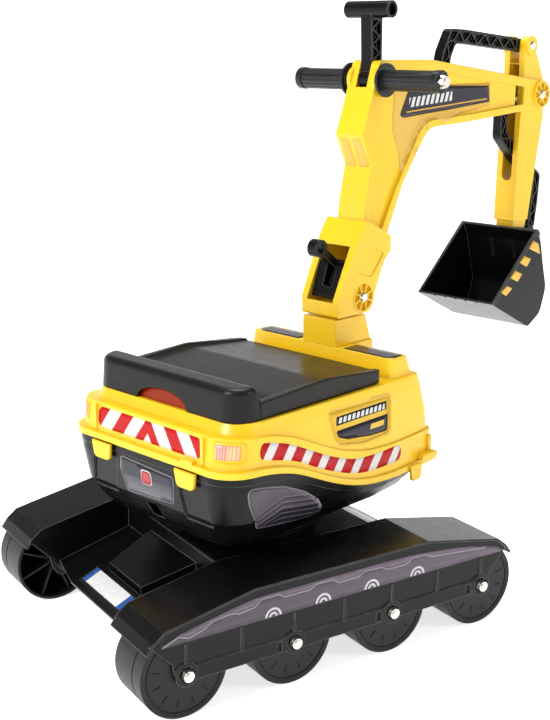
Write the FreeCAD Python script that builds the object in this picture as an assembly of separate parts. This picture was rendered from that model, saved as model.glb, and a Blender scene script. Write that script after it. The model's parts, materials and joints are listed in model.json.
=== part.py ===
import FreeCAD, Part
import math
import os

# Ride-on toy excavator, millimetres. X is the vehicle's right, Y is forward, Z is up, the floor is z = 0.
# Undercarriage parts are drawn straight in that frame. Everything above the turntable is drawn with its
# own nose along +Y and is then slewed about the vertical turntable axis through x = 0, y = 0.

# Undercarriage
WHEEL_RADIUS = 48.0
WHEEL_PITCH = 126.0
WHEEL_IN = 130.6
WHEEL_OUT = 186.4
TRACK_IN = 112.3
TRACK_OUT = 190.5
SKIN = 2.6
AXLE_RADIUS = 4.0
AXLE_ROWS = [-1.5 * WHEEL_PITCH, -0.5 * WHEEL_PITCH, 0.5 * WHEEL_PITCH, 1.5 * WHEEL_PITCH]
PLATFORM_TOP = 112.0

# Upper body
SLEW_DEGREES = 13.14
RIM_TOP = 272.0
BOWL_BOTTOM = 128.0
BAND_HEIGHT = 38.5
SHELL_WALL = 2.8
HINGE_X = 70
SEAT_BASE = RIM_TOP + 0.2
NAME_PANEL_DEPTH = 1.4
BRACKET_SCREWS = [(-20, 152), (20, 152), (-20, 170), (20, 170)]
BRACKET_SCREW_RADIUS = 2.0

# Arm pivots, as (y, z) in the upper body's own frame
BOOM_BASE = (163.5, 348.3)
BOOM_TIP = (539.6, 573.5)
HANDLEBAR = (200.5, 600.0)
DIPPER_HEAD = (515.6, 638.0)
LEVER_CRANK = (228.0, 540.0)
BUCKET_PIVOT = (510.0, 380.0)
BUCKET_CRANK = (554.0, 375.0)
LINK_ANCHOR = (494.0, 568.0)
SEAT_HINGE = (94.0, 279.0)
LATCH_PIVOT = (147.0, 384.0)
LATCH_RING = (113.0, 410.0)
BOOM_HALF_WIDTH = 20.5
HOUSING_HALF_WIDTH = 32.0
DIPPER_HALF_WIDTH = 15.8
BUCKET_HALF_WIDTH = 61.3

PARTS = {}


# ---------------------------------------------------------------- drawing helpers

def unit(a, b):
    length = math.hypot(b[0] - a[0], b[1] - a[1])
    return ((b[0] - a[0]) / length, (b[1] - a[1]) / length)


def place(plane, level):
    """Maps a flat (a, b) point into space: yz at an x level, xy at a z level, xz at a y level."""
    if plane == "yz":
        return lambda p: FreeCAD.Vector(level, p[0], p[1])
    if plane == "xy":
        return lambda p: FreeCAD.Vector(p[0], p[1], level)
    return lambda p: FreeCAD.Vector(p[0], level, p[1])


def outline(points, plane="yz", level=0.0):
    """Closed wire through (a, b) or (a, b, corner radius) points."""
    to_space = place(plane, level)
    count = len(points)
    edges = []
    stops = []
    for i, corner in enumerate(points):
        before = points[i - 1]
        after = points[(i + 1) % count]
        radius = corner[2] if len(corner) > 2 else 0.0
        if radius <= 0:
            stops.append((corner, None, corner))
            continue
        u = unit(corner, before)
        v = unit(corner, after)
        half = 0.5 * math.acos(max(-1.0, min(1.0, u[0] * v[0] + u[1] * v[1])))
        run = radius / math.tan(half)
        start = (corner[0] + u[0] * run, corner[1] + u[1] * run)
        end = (corner[0] + v[0] * run, corner[1] + v[1] * run)
        bis = unit((0, 0), (u[0] + v[0], u[1] + v[1]))
        reach = radius / math.sin(half) - radius
        middle = (corner[0] + bis[0] * reach, corner[1] + bis[1] * reach)
        stops.append((start, middle, end))
    for i, (start, middle, end) in enumerate(stops):
        if middle is not None:
            edges.append(Part.Arc(to_space(start), to_space(middle), to_space(end)).toShape())
        nxt = stops[(i + 1) % count][0]
        if math.hypot(nxt[0] - end[0], nxt[1] - end[1]) > 1e-6:
            edges.append(Part.makeLine(to_space(end), to_space(nxt)))
    return Part.Wire(edges)


def slab(points, x0, x1):
    """Side-view outline (y, z[, radius]) stretched from x0 to x1."""
    return Part.Face(outline(points, "yz", x0)).extrude(FreeCAD.Vector(x1 - x0, 0, 0))


def column(points, z0, z1):
    """Plan outline (x, y[, radius]) stretched from z0 to z1."""
    return Part.Face(outline(points, "xy", z0)).extrude(FreeCAD.Vector(0, 0, z1 - z0))


def curtain(points, y0, y1):
    """Rear-view outline (x, z[, radius]) stretched from y0 to y1."""
    return Part.Face(outline(points, "xz", y0)).extrude(FreeCAD.Vector(0, y1 - y0, 0))


def box(x0, x1, y0, y1, z0, z1):
    return Part.makeBox(x1 - x0, y1 - y0, z1 - z0, FreeCAD.Vector(x0, y0, z0))


def rod_x(center, radius, x0, x1):
    return Part.makeCylinder(radius, x1 - x0, FreeCAD.Vector(x0, center[0], center[1]),
                             FreeCAD.Vector(1, 0, 0))


def rod_z(x, y, radius, z0, z1):
    return Part.makeCylinder(radius, z1 - z0, FreeCAD.Vector(x, y, z0), FreeCAD.Vector(0, 0, 1))


def ring_x(center, outer, inner, x0, x1):
    return rod_x(center, outer, x0, x1).cut(rod_x(center, inner, x0 - 1, x1 + 1))


def hex_x(center, across, x0, x1):
    """Hexagonal prism along X, across flats."""
    radius = across / math.sqrt(3)
    points = [(center[0] + radius * math.cos(math.radians(60 * i)),
               center[1] + radius * math.sin(math.radians(60 * i))) for i in range(6)]
    return slab(points, x0, x1)


def bar(a, b, width, x0, x1):
    """Straight flat bar between two side-view points, its ends square."""
    u = unit(a, b)
    n = (-u[1] * width / 2, u[0] * width / 2)
    return slab([(a[0] + n[0], a[1] + n[1]), (b[0] + n[0], b[1] + n[1]),
                 (b[0] - n[0], b[1] - n[1]), (a[0] - n[0], a[1] - n[1])], x0, x1)


def mirror_x(shape):
    return shape.mirror(FreeCAD.Vector(0, 0, 0), FreeCAD.Vector(1, 0, 0))


def mirror_y(shape):
    return shape.mirror(FreeCAD.Vector(0, 0, 0), FreeCAD.Vector(0, 1, 0))


def both_sides(shape):
    return [shape, mirror_x(shape)]


def fuse(first, *others):
    solids = []
    for item in others:
        solids.extend(item if isinstance(item, list) else [item])
    return first.multiFuse(solids).removeSplitter() if solids else first


def cut(shape, *tools):
    solids = []
    for item in tools:
        solids.extend(item if isinstance(item, list) else [item])
    return shape.cut(Part.makeCompound(solids)) if len(solids) > 1 else shape.cut(solids[0])


def offset_line(points, distance):
    """Open side-view line moved to its right by a distance, mitred at the corners."""
    moved = []
    for i, p in enumerate(points):
        before = unit(points[i - 1], p) if i > 0 else None
        after = unit(p, points[i + 1]) if i < len(points) - 1 else None
        u = before or after
        v = after or before
        n1 = (u[1], -u[0])
        n2 = (v[1], -v[0])
        scale = distance / (1 + n1[0] * n2[0] + n1[1] * n2[1])
        moved.append((p[0] + (n1[0] + n2[0]) * scale, p[1] + (n1[1] + n2[1]) * scale))
    return moved


def offset_ring(points, distances):
    """Closed outline with each edge moved inward (to the right of travel) by its own distance."""
    count = len(points)
    moved = []
    for i, p in enumerate(points):
        u = unit(points[i - 1], p)
        v = unit(p, points[(i + 1) % count])
        d1 = distances[i - 1]
        d2 = distances[i]
        n1 = (u[1], -u[0])
        n2 = (v[1], -v[0])
        turn = u[0] * v[1] - u[1] * v[0]
        # intersection of the two moved edges
        a = (p[0] + n1[0] * d1, p[1] + n1[1] * d1)
        b = (p[0] + n2[0] * d2, p[1] + n2[1] * d2)
        if abs(turn) < 1e-6:
            q = a
        else:
            t = ((b[0] - a[0]) * v[1] - (b[1] - a[1]) * v[0]) / turn
            q = (a[0] + u[0] * t, a[1] + u[1] * t)
        radius = max(p[2] - min(d1, d2), 0.6) if len(p) > 2 and p[2] > 0 else 0.0
        moved.append((q[0], q[1], radius))
    return moved


def strip(points, thickness, x0, x1):
    """Sheet of constant thickness hung below a side-view line that runs towards +Y."""
    below = offset_line(points, thickness)
    return slab(list(points) + below[::-1], x0, x1)


# ---------------------------------------------------------------- undercarriage

COVER_LINE = [(-232.5, 79.5), (-225, 89.5), (-213, 99), (-194, 103), (-110.8, 119.3),
              (110.8, 119.3), (194, 103), (213, 99), (225, 89.5), (232.5, 79.5)]
WALL_OUTLINE = [(-228, 86.5), (-204, 62), (-202, 50), (-196, 40, 4), (196, 40, 4), (202, 50), (204, 62),
                (228, 86.5), (213, 98), (194, 102), (110.8, 118.2), (-110.8, 118.2), (-194, 102),
                (-213, 98)]
DECK_LINE = [(-202.5, 53), (-102, 80), (-101, 80), (101, 80), (102, 80), (202.5, 53)]
DECK_PLAN = [(-113, -192), (-56, -202.5, 4), (56, -202.5, 4), (113, -192),
             (113, 192), (56, 202.5, 4), (-56, 202.5, 4), (-113, 192)]


def track_cover():
    """Right-hand track cover: bent top sheet, inner and outer side walls, rail, ribs and axle bosses."""
    top = strip(COVER_LINE, SKIN, TRACK_IN, TRACK_OUT)
    bead = strip(COVER_LINE, 2.2, TRACK_OUT - 0.5, TRACK_OUT + 1.3)
    outer_wall = slab(WALL_OUTLINE, WHEEL_OUT + 1.0, TRACK_OUT - 0.9)
    inner_wall = slab(WALL_OUTLINE, TRACK_IN, TRACK_IN + SKIN)
    rail = slab([(-189, 40.5, 1.5), (189, 40.5, 1.5), (189, 55.5, 1.5), (-189, 55.5, 1.5)],
                WHEEL_OUT + 1.2, TRACK_OUT + 1.3)
    cover = fuse(top, bead, outer_wall, inner_wall, rail)
    ribs = [slab([(y - 1.9, 54), (y + 1.9, 54), (y + 0.9, 80), (y - 0.9, 80)],
                 TRACK_OUT - 1.2, TRACK_OUT + 0.6)
            for y in [WHEEL_PITCH / 2 * i for i in range(-3, 4)]]
    bosses = [rod_x((y, WHEEL_RADIUS), 12.5, WHEEL_OUT + 1.0, TRACK_OUT + 1.5) for y in AXLE_ROWS]
    inner_bosses = [rod_x((y, WHEEL_RADIUS), 10, TRACK_IN, WHEEL_IN - 1.0) for y in AXLE_ROWS]
    cover = fuse(cover, ribs, bosses, inner_bosses)
    pockets = [rod_x((y, WHEEL_RADIUS), 9.0, TRACK_OUT - 0.9, TRACK_OUT + 3) for y in AXLE_ROWS]
    slots = [box(TRACK_OUT - 1.0, TRACK_OUT + 3, y - 22, y - 15.5, 43, 53) for y in AXLE_ROWS]
    bores = [rod_x((y, WHEEL_RADIUS), AXLE_RADIUS + 0.05, TRACK_IN - 2, TRACK_OUT + 3)
             for y in AXLE_ROWS]
    return cut(cover, pockets, slots, bores)


STEP_TOP = [(-39, -162, 73.5), (39, -162, 73.5), (55, -102, 94.7), (-55, -102, 94.7)]


def step_box(grow, drop):
    """Wedge-shaped step on the rear deck: its sloping top face dropped straight down."""
    corners = []
    for x, y, z in STEP_TOP:
        side = 1 if x > 0 else -1
        back = grow if y < -150 else -2
        corners.append(FreeCAD.Vector(x + side * grow, y - back, z - drop))
    face = Part.Face(Part.makePolygon(corners + [corners[0]]))
    return face.extrude(FreeCAD.Vector(0, 0, -24))


def plate_holder():
    return slab([(-194.5, 55.2), (-193.5, 56.2), (-172, 66.2), (-166, 66.2), (-160, 60)], -52, 52)


def track_frame():
    """One black moulding: both track covers, the sloping deck, steps and the turntable platform."""
    covers = both_sides(track_cover())
    plan = column(DECK_PLAN, 20, 130)
    inset_plan = column([(x * 0.975, y * 0.985) for x, y, *_ in DECK_PLAN], 20, 130)
    deck = strip(DECK_LINE, SKIN, -113, 113).common(plan)
    skirt = strip(DECK_LINE, 10, -113, 113).common(plan).cut(inset_plan)
    platform = slab([(-102, 78), (102, 78), (102, PLATFORM_TOP, 4), (-102, PLATFORM_TOP, 4)], -113, 113)
    hollow = slab([(-99.4, 70), (99.4, 70), (99.4, PLATFORM_TOP - SKIN, 2),
                   (-99.4, PLATFORM_TOP - SKIN, 2)], -109.6, 109.6)
    collar = rod_z(0, 0, 16, 84, PLATFORM_TOP - 1)
    rear = fuse(step_box(0, 0), plate_holder())
    rear_hollow = step_box(-SKIN, SKIN)
    body = fuse(covers[0], covers[1], deck, skirt, platform, rear, mirror_y(rear))
    body = cut(body, hollow, rear_hollow, mirror_y(rear_hollow))
    body = fuse(body, collar)
    plate_seat = slab([(-193.1, 56.45), (-172.3, 66.15), (-175, 72), (-196, 62)], -48.6, 48.6)
    return cut(body, rod_z(0, 0, 8.05, 60, 140), plate_seat)


def wheel(side, y):
    """Moulded wheel, open and ribbed on its inner side, closed by a slotted face outside."""
    c = (y, WHEEL_RADIUS)
    tread = ring_x(c, WHEEL_RADIUS, WHEEL_RADIUS - 3.2, WHEEL_IN, WHEEL_OUT)
    face = rod_x(c, WHEEL_RADIUS - 1, WHEEL_OUT - 3.6, WHEEL_OUT - 0.6)
    hub = rod_x(c, 9, WHEEL_IN, WHEEL_OUT - 1.0)
    spoke = box(WHEEL_IN + 6, WHEEL_OUT - 2, -1.2, 1.2, 7, WHEEL_RADIUS - 2)
    spokes = []
    for i in range(8):
        turned = spoke.copy()
        turned.rotate(FreeCAD.Vector(0, 0, 0), FreeCAD.Vector(1, 0, 0), 45 * i + 22.5)
        turned.translate(FreeCAD.Vector(0, c[0], c[1]))
        spokes.append(turned)
    shape = fuse(tread, face, hub, spokes)
    tread_groove = ring_x(c, WHEEL_RADIUS + 1, WHEEL_RADIUS - 1.3, WHEEL_OUT - 19, WHEEL_OUT - 17)
    face_groove = ring_x(c, 42.5, 41, WHEEL_OUT - 1.9, WHEEL_OUT + 1)
    marks = []
    for i in range(12):
        mark = box(WHEEL_OUT - 1.7, WHEEL_OUT + 1, -0.8, 0.8, 27, 36)
        mark.rotate(FreeCAD.Vector(0, 0, 0), FreeCAD.Vector(1, 0, 0), 30 * i + 15)
        mark.translate(FreeCAD.Vector(0, c[0], c[1]))
        marks.append(mark)
    axle_hole = rod_x(c, AXLE_RADIUS + 0.08, WHEEL_IN - 2, WHEEL_OUT + 2)
    shape = cut(shape, tread_groove, face_groove, marks, axle_hole)
    return shape if side > 0 else mirror_x(shape)


def nut_x(center, x, direction, size=13.0, height=7.2, bore=4.02):
    """Lock nut: hexagon with a rounded collar on its outer end."""
    lo = min(x, x + direction * height)
    hexagon = hex_x(center, size, lo, lo + height)
    dome = Part.makeCone(size * 0.44, size * 0.62, height + 2.4,
                         FreeCAD.Vector(x + direction * height, center[0], center[1]),
                         FreeCAD.Vector(-direction, 0, 0))
    return hexagon.common(dome).cut(rod_x(center, bore, lo - 1, lo + height + 1))


def undercarriage():
    PARTS["track_frame"] = track_frame()
    names = ["rear", "mid_rear", "mid_front", "front"]
    for name, y in zip(names, AXLE_ROWS):
        PARTS["wheel_right_" + name] = wheel(1, y)
        PARTS["wheel_left_" + name] = wheel(-1, y)
    tip = TRACK_OUT + 7.6
    PARTS["axle_rods"] = Part.makeCompound([rod_x((y, WHEEL_RADIUS), AXLE_RADIUS, -tip, tip)
                                            for y in AXLE_ROWS])
    nut = TRACK_OUT - 0.85
    PARTS["axle_nuts"] = Part.makeCompound([nut_x((y, WHEEL_RADIUS), s * nut, s)
                                            for y in AXLE_ROWS for s in (1, -1)])
    PARTS["licence_plate"] = slab([(-192.9, 56.7), (-172.5, 66.2), (-173.0, 67.3), (-193.4, 57.8)], -48, 48)
    PARTS["turntable_ring"] = rod_z(0, 0, 78, PLATFORM_TOP + 0.05, PLATFORM_TOP + 6).cut(
        rod_z(0, 0, 66, PLATFORM_TOP - 1, PLATFORM_TOP + 8))


# ---------------------------------------------------------------- upper body

RIM_CURVE = [(-260, 222), (-170, 222), (-120, 221.5), (-96, 218.5), (-64, 210.5), (-31, 196.5), (4, 181.5),
             (32, 172.5), (60, 167), (97, 164.5), (140, 164), (260, 164)]


def rim_surface_solid(offset, height):
    """Everything above the S-curved rim line (moved up by offset), up to a further height."""
    spline = Part.BSplineCurve()
    spline.interpolate([FreeCAD.Vector(-200, y, z + offset) for y, z in RIM_CURVE])
    bottom = spline.toShape()
    first = FreeCAD.Vector(-200, RIM_CURVE[0][0], RIM_CURVE[0][1] + offset)
    last = FreeCAD.Vector(-200, RIM_CURVE[-1][0], RIM_CURVE[-1][1] + offset)
    if height is None:
        first_up = FreeCAD.Vector(-200, first.y, 400)
        last_up = FreeCAD.Vector(-200, last.y, 400)
        top = Part.makeLine(first_up, last_up)
    else:
        upper = Part.BSplineCurve()
        upper.interpolate([FreeCAD.Vector(-200, y, z + offset + height) for y, z in RIM_CURVE])
        top = upper.toShape()
        first_up = FreeCAD.Vector(-200, first.y, first.z + height)
        last_up = FreeCAD.Vector(-200, last.y, last.z + height)
    wire = Part.Wire([bottom, Part.makeLine(last, last_up), top, Part.makeLine(first_up, first)])
    return Part.Face(wire).extrude(FreeCAD.Vector(400, 0, 0))


def body_plan(half, nose_half, rear, front, inset=0.0, radius=34):
    """Plan of the body: straight sides that pinch in from the shoulder to the nose."""
    shoulder = min(104, front - 60)
    h = half - inset
    n = nose_half - inset
    back = rear + inset
    nose = front - inset
    corner = max(radius - inset, 8)
    right = [(h, back, corner), (h, shoulder, 25), (n, nose, 12)]
    return right + [(-x, y, r) for x, y, r in right[::-1]]


def body_loft(sections, inset=0.0):
    """Loft through (z, half, nose_half, rear, front) sections."""
    wires = [outline(body_plan(half, nose, rear, front, inset=inset), "xy", z)
             for z, half, nose, rear, front in sections]
    return Part.makeLoft(wires, True, True)


WALL_SECTIONS = [(150, 129.5, 121, -152, 187), (228, 126.5, 121, -148, 176), (258, 123.5, 120, -137, 168),
                 (RIM_TOP, 120.5, 119, -130, 163)]
BAND_SECTIONS = [(150, 132, 124, -155, 190), (228, 129.5, 123.5, -151.5, 179), (264, 128, 123, -148, 171)]
LIP_SECTIONS = [(150, 135.5, 128, -159, 194), (240, 134, 127, -157, 184)]
WELL_PLAN = [(-104, -108, 20), (104, -108, 20), (104, 86, 8), (-104, 86, 8)]


def console(inset=0.0, drop=0.0):
    """Raised block across the nose that carries the two instrument panels and the boom bracket."""
    low = [(-115 + inset, 114 + inset, 8), (115 - inset, 114 + inset, 8),
           (113 - inset, 158 - inset, 8), (-113 + inset, 158 - inset, 8)]
    high = [(-111.5 + inset, 117.5 + inset, 6), (111.5 - inset, 117.5 + inset, 6),
            (110 - inset, 149 - inset, 6), (-110 + inset, 149 - inset, 6)]
    return Part.makeLoft([outline(low, "xy", RIM_TOP - 4 - drop), outline(high, "xy", 294 - drop)], True, True)


def nose_pillar(inset):
    """Column down the middle of the nose, under the boom bracket."""
    top = 294 - inset
    return slab([(132 + inset, 176), (188.5 - inset, 176), (183.5 - inset, top), (132 + inset, top)],
                -28 + inset, 28 - inset)


def name_panel():
    """Shallow blank recess in the right-hand wall above the stripe band."""
    face = [(-3, 262, 3), (101.5, 260.5, 3), (98.5, 216.5, 8), (52.5, 214.5, 40), (14.5, 221.5, 16), (4.5, 230, 8)]
    prism = slab(face, 110, 140)
    return prism.cut(body_loft(WALL_SECTIONS, NAME_PANEL_DEPTH))


def lip_lug():
    """Flat lug and upright peg on the lip beside the nose."""
    return [slab([(148, 172), (178, 172), (176, 178), (150, 178)], 118, 136), rod_z(126.5, 172, 3, 176, 196)]


def rear_trim():
    """Two flat tabs on the lip behind and an upright rib beside each reflector."""
    tabs = [box(60, 77, -157.5, -149, 226, 232.5), box(-66, -53, -157.5, -149, 224.5, 229.5)]
    rib_face = [(84.6, 230.5, 1), (88.8, 230.5, 1), (88.8, 259.5, 1.5), (84.6, 259.5, 1.5)]
    ribs = [curtain(rib_face, -152.8, -147.5)]
    return tabs + ribs + [mirror_x(ribs[0])]


def body_shell():
    """Yellow upper shell with its S-curved rim, protruding stripe band, lip, seat well and console."""
    above = rim_surface_solid(0, None)
    band = body_loft(BAND_SECTIONS).common(rim_surface_solid(0.2, BAND_HEIGHT))
    lip = body_loft(LIP_SECTIONS).common(rim_surface_solid(0, 7))
    solid = fuse(body_loft(WALL_SECTIONS).common(above), band, lip, console(), nose_pillar(0))
    inner = [(z, half, nose, rear, front) for z, half, nose, rear, front in WALL_SECTIONS[:-1]]
    inner.append((RIM_TOP - SHELL_WALL, 120.5, 119, -130, 163))
    cavity = body_loft([(140, 129.8, 121.3, -152.3, 187.3)] + inner, SHELL_WALL)
    well = column(WELL_PLAN, 200, 300)
    shell = cut(solid, cavity).cut(console(SHELL_WALL, SHELL_WALL)).cut(nose_pillar(SHELL_WALL)).cut(well)
    for recess in both_sides(name_panel()):
        shell = shell.cut(recess)
    lugs = lip_lug()
    shell = fuse(shell, lugs, [mirror_x(lug) for lug in lugs], rear_trim(), hinge_knuckles())
    screw_holes = [rod_z(x, y, BRACKET_SCREW_RADIUS, 280, 300) for x, y in BRACKET_SCREWS]
    return cut(shell, box(-22, 22, 124, 145, 285, 300), screw_holes)


def storage_bin():
    """Yellow trunk liner under the seat, hung in the shell's well on a flange."""
    outer = column([(x * 0.985, y * 0.985 - 0.4, r) for x, y, r in WELL_PLAN], 150, RIM_TOP - SHELL_WALL - 0.1)
    inner = column([(x * 0.955, y * 0.955 - 0.4, r) for x, y, r in WELL_PLAN], 153, RIM_TOP + 5)
    return outer.cut(inner)


BOWL_SECTIONS = [(240, 131.5, 124, -155, 190), (205, 131, 124, -154.5, 189), (170, 126, 119, -150, 176),
                 (150, 118, 110, -140, 166), (136, 108, 100, -128, 154), (BOWL_BOTTOM, 92, 84, -112, 138)]
BOWL_WALL = 4.0
BOWL_BAND = 8.5
CLIP_X = 68


def bowl():
    """Black lower tub: raised band under the lip, two slanted hook channels and a latch hole at the back."""
    band_sections = [(z, half + 0.9, nose + 0.9, rear - 0.9, front + 0.9)
                     for z, half, nose, rear, front in BOWL_SECTIONS]
    band = body_loft(band_sections).common(rim_surface_solid(-BOWL_BAND, BOWL_BAND - 0.15))
    below = body_loft(BOWL_SECTIONS).cut(rim_surface_solid(-0.15, None)).fuse(band)
    raised_floor = BOWL_SECTIONS[:-1] + [(BOWL_BOTTOM + SHELL_WALL,) + BOWL_SECTIONS[-1][1:]]
    tub = below.cut(body_loft(raised_floor, BOWL_WALL))
    channel = curtain([(56.5, 163.5, 2), (97.5, 163.5, 2), (87, 212), (47.5, 212)], -175, -130)
    for groove in both_sides(channel):
        tub = tub.cut(groove.cut(body_loft(BOWL_SECTIONS, 2.2)))
    track = ring_z(82, 58, BOWL_BOTTOM - 9.9, BOWL_BOTTOM + 1)
    floor_boss = rod_z(0, 0, 30, BOWL_BOTTOM - 9.9, BOWL_BOTTOM + SHELL_WALL)
    spokes = [box(-60, 60, -1.5, 1.5, BOWL_BOTTOM - 9.9, BOWL_BOTTOM + 1),
              box(-1.5, 1.5, -60, 60, BOWL_BOTTOM - 9.9, BOWL_BOTTOM + 1)]
    tub = fuse(tub, track, floor_boss, spokes)
    latch_hole = curtain([(-9, 165, 2), (8, 165, 2), (12.5, 148, 2), (-5, 148, 2)], -160, -120)
    hub_hole = rod_z(0, 0, 8.05, BOWL_BOTTOM - 14, BOWL_BOTTOM + 6)
    return cut(tub, latch_hole, hub_hole)


def ring_z(outer, inner, z0, z1):
    return rod_z(0, 0, outer, z0, z1).cut(rod_z(0, 0, inner, z0 - 1, z1 + 1))


def softened(shape, radius, picked):
    """Fillet on the edges that picked(edge's box) chooses."""
    return shape.makeFillet(radius, [edge for edge in shape.Edges if picked(edge.BoundBox)])


def rim_clips():
    """Four yellow hooks that tie shell and tub together over the lip: two behind, one on each side."""
    hooks = []
    for x in (-CLIP_X, CLIP_X):
        plan = [(x - 16, 221), (x + 16, 221), (x + 14, 202.5, 6.5), (x - 12, 202.5, 6.5)]
        hook = curtain(plan, -160.9, -157.3)
        hooks.append(softened(hook, 1.3, lambda b: b.YMax < -160.8))
    side = slab([(126, 170.3), (148, 170.3), (146, 151, 5.5), (129, 151, 5.5)], 133.8, 137.0)
    side = softened(side, 1.2, lambda b: b.XMin > 136.9)
    return hooks + both_sides(side)


def kingpin():
    """Steel bolt and washer that hold the upper body down on the platform."""
    shank = rod_z(0, 0, 8.0, 80, BOWL_BOTTOM + 8)
    head = rod_z(0, 0, 15, BOWL_BOTTOM + 3.05, BOWL_BOTTOM + 9)
    foot = rod_z(0, 0, 14, 76, 83.9)
    return fuse(shank, head, foot)


BRACKET_FOOT = 294.05
BRACKET_TOP = 326.0


def boom_bracket():
    """Yellow post standing on the console; its tongue carries the boom's base pivot."""
    post_side = [(117.5, BRACKET_FOOT), (181.5, BRACKET_FOOT), (171, BRACKET_TOP), (117.5, BRACKET_TOP)]
    post = slab(post_side, -26, 26)
    inner = slab([(120.5, BRACKET_FOOT + 3), (177.5, BRACKET_FOOT + 3), (168.8, BRACKET_TOP - 3),
                  (120.5, BRACKET_TOP - 3)], -23, 23)
    tongue = slab([(142, BRACKET_TOP - 2), (170.5, BRACKET_TOP - 2), (176, 340, 6), (175, 357, 9), (163, 364, 9),
                   (149, 357, 6)], -12, 12)
    foot = column([(-21.5, 124.5, 2), (21.5, 124.5, 2), (21.5, 144.5, 2), (-21.5, 144.5, 2)],
                  286, BRACKET_FOOT + 1)
    foot_hollow = column([(-18.5, 127.5), (18.5, 127.5), (18.5, 141.5), (-18.5, 141.5)], 280, BRACKET_FOOT + 1)
    shape = fuse(post.cut(inner), tongue, rod_x(BOOM_BASE, 14, -12, 12), foot.cut(foot_hollow))
    screw_holes = [rod_z(x, y, BRACKET_SCREW_RADIUS, 280, 300) for x, y in BRACKET_SCREWS]
    return cut(shape, rod_x(BOOM_BASE, 5.05, -40, 40), screw_holes)


def bracket_screws():
    """Four screws down through the bracket's foot plate into the shell."""
    screws = []
    for x, y in BRACKET_SCREWS:
        shank = rod_z(x, y, BRACKET_SCREW_RADIUS, 283, BRACKET_FOOT + 3.05)
        head = rod_z(x, y, 3.0, BRACKET_FOOT + 3.05, BRACKET_FOOT + 5.5)
        screws.append(shank.fuse(head))
    return Part.makeCompound(screws)


def seat_plan(inset=0.0):
    """Plan of the seat, right-hand and left-hand points, drawn in by an inset."""
    rear = -131 + inset
    front = 98 - inset
    return [(-117 + inset, rear, 26 - inset * 0.5), (117 - inset, rear, 26 - inset * 0.5),
            (114 - inset, front, 8), (-114 + inset, front, 8)]


HUMP_LEAN = 2.4


def seat_hump(inset, top, edge):
    """Thick rounded bar across the back of the seat, leaning in as it rises."""
    block = Part.makeLoft([outline(seat_plan(inset), "xy", SEAT_BASE - 6),
                           outline(seat_plan(inset + HUMP_LEAN), "xy", top)], True, True)
    block = softened(block, edge, lambda b: b.ZMin > top - 0.01)
    front = -95.5 - inset
    side = [(-140, SEAT_BASE - 10), (-140, top + 5), (front - 7, top + 5), (front - 7, top - 1, 4),
            (front, 291 - inset, 3), (front + 30, 291 - inset), (front + 30, SEAT_BASE - 10)]
    return block.common(slab(side, -130, 130))


def arch(half_width, height, base, segments=14):
    """Half ellipse standing on a base line, as (x, z) points, with legs below it."""
    points = [(half_width * math.cos(math.pi * i / segments), base + height * math.sin(math.pi * i / segments))
              for i in range(segments + 1)]
    return [(half_width, base - 10)] + points + [(-half_width, base - 10)]


def seat_lid():
    """Hinged seat: rear hump, dished pan, arched finger notch, ribs and a round cup underneath."""
    base = SEAT_BASE
    side = [(-97, base), (-97, 290.5), (8, 295.5, 60), (100, 286.5, 3), (100, base + 1.5),
            (86, base + 1.5), (86, base)]
    floor = slab([(-140, base), (86, base), (86, base + 1.5), (140, base + 1.5), (140, 340), (-140, 340)],
                 -140, 140)
    pan = column(seat_plan(), 268, 320).common(slab(side, -130, 130))
    solid = pan.fuse(seat_hump(0.0, 307.0, 7.5)).common(floor)
    dish = slab([(-98, 287.8, 5), (8, 292.0, 40), (102, 284.5), (102, 320), (-98, 320)], -112, 112).common(
        curtain([(-98, 280), (98, 280), (114, 300), (-114, 300)], -130, 120))
    front_of_hump = box(-130, 130, -97.5, 130, 240, 330)
    pan_hollow = slab([(-140, 250), (-140, 285.0), (8, 289.1), (110, 281.6), (110, 250)], -130, 130)
    inset = column(seat_plan(3.0), 250, 320)
    shape = solid.cut(dish.common(front_of_hump)).cut(pan_hollow.common(inset)).cut(
        seat_hump(3.0, 303.8, 4.5).common(column(seat_plan(3.0), 250, 320)))
    ribs = [box(x - 1.1, x + 1.1, -94, 84, 276, 284) for x in (-54, -18, 18, 54)]
    ribs += [box(-108, 108, y, y + 2.2, 276, 284) for y in (-60, 38)]
    cup = rod_z(0, -8, 36, 274.5, 286)
    lugs = [slab([(88, 283.5), (89.5, 276.5, 3), (97, 274.5, 3), (97.5, 283.5)], x - 6, x + 6)
            for x in (-HINGE_X, HINGE_X)]
    shape = fuse(shape, [rib.common(inset) for rib in ribs], cup, lugs)
    notch = curtain(arch(40.0, 16.5, base), -140, -112)
    fork_gaps = [slab([(89, 270), (102, 270), (102, 276), (98.6, 283.2), (89, 283.2)],
                      min(a, b), max(a, b))
                 for x in (-HINGE_X, HINGE_X) for a, b in ((x + 6.2, x + 11), (x - 6.2, x - 11))]
    shape = shape.cut(rod_z(0, -8, 33.6, 270, 285)).cut(notch)
    return cut(shape, fork_gaps).cut(rod_x(SEAT_HINGE, 2.05, -84, 84))


def seat_hinge_pins():
    return Part.makeCompound([rod_x(SEAT_HINGE, 2.0, x - 10.4, x + 10.4) for x in (-HINGE_X, HINGE_X)])


def hinge_knuckles():
    """Two forks standing on the shell's deck that hold the seat's hinge pins."""
    y, z = SEAT_HINGE
    forks = []
    for x in (-HINGE_X, HINGE_X):
        for a, b in ((x + 6.6, x + 10.6), (x - 10.6, x - 6.6)):
            post = slab([(y - 3.8, RIM_TOP - 1), (y + 3.8, RIM_TOP - 1), (y + 3.8, z), (y - 3.8, z)], a, b)
            fork = post.fuse(rod_x(SEAT_HINGE, 3.8, a, b))
            forks.append(fork.cut(rod_x(SEAT_HINGE, 2.0, a - 1, b + 1)))
    return forks


# ---------------------------------------------------------------- boom

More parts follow.
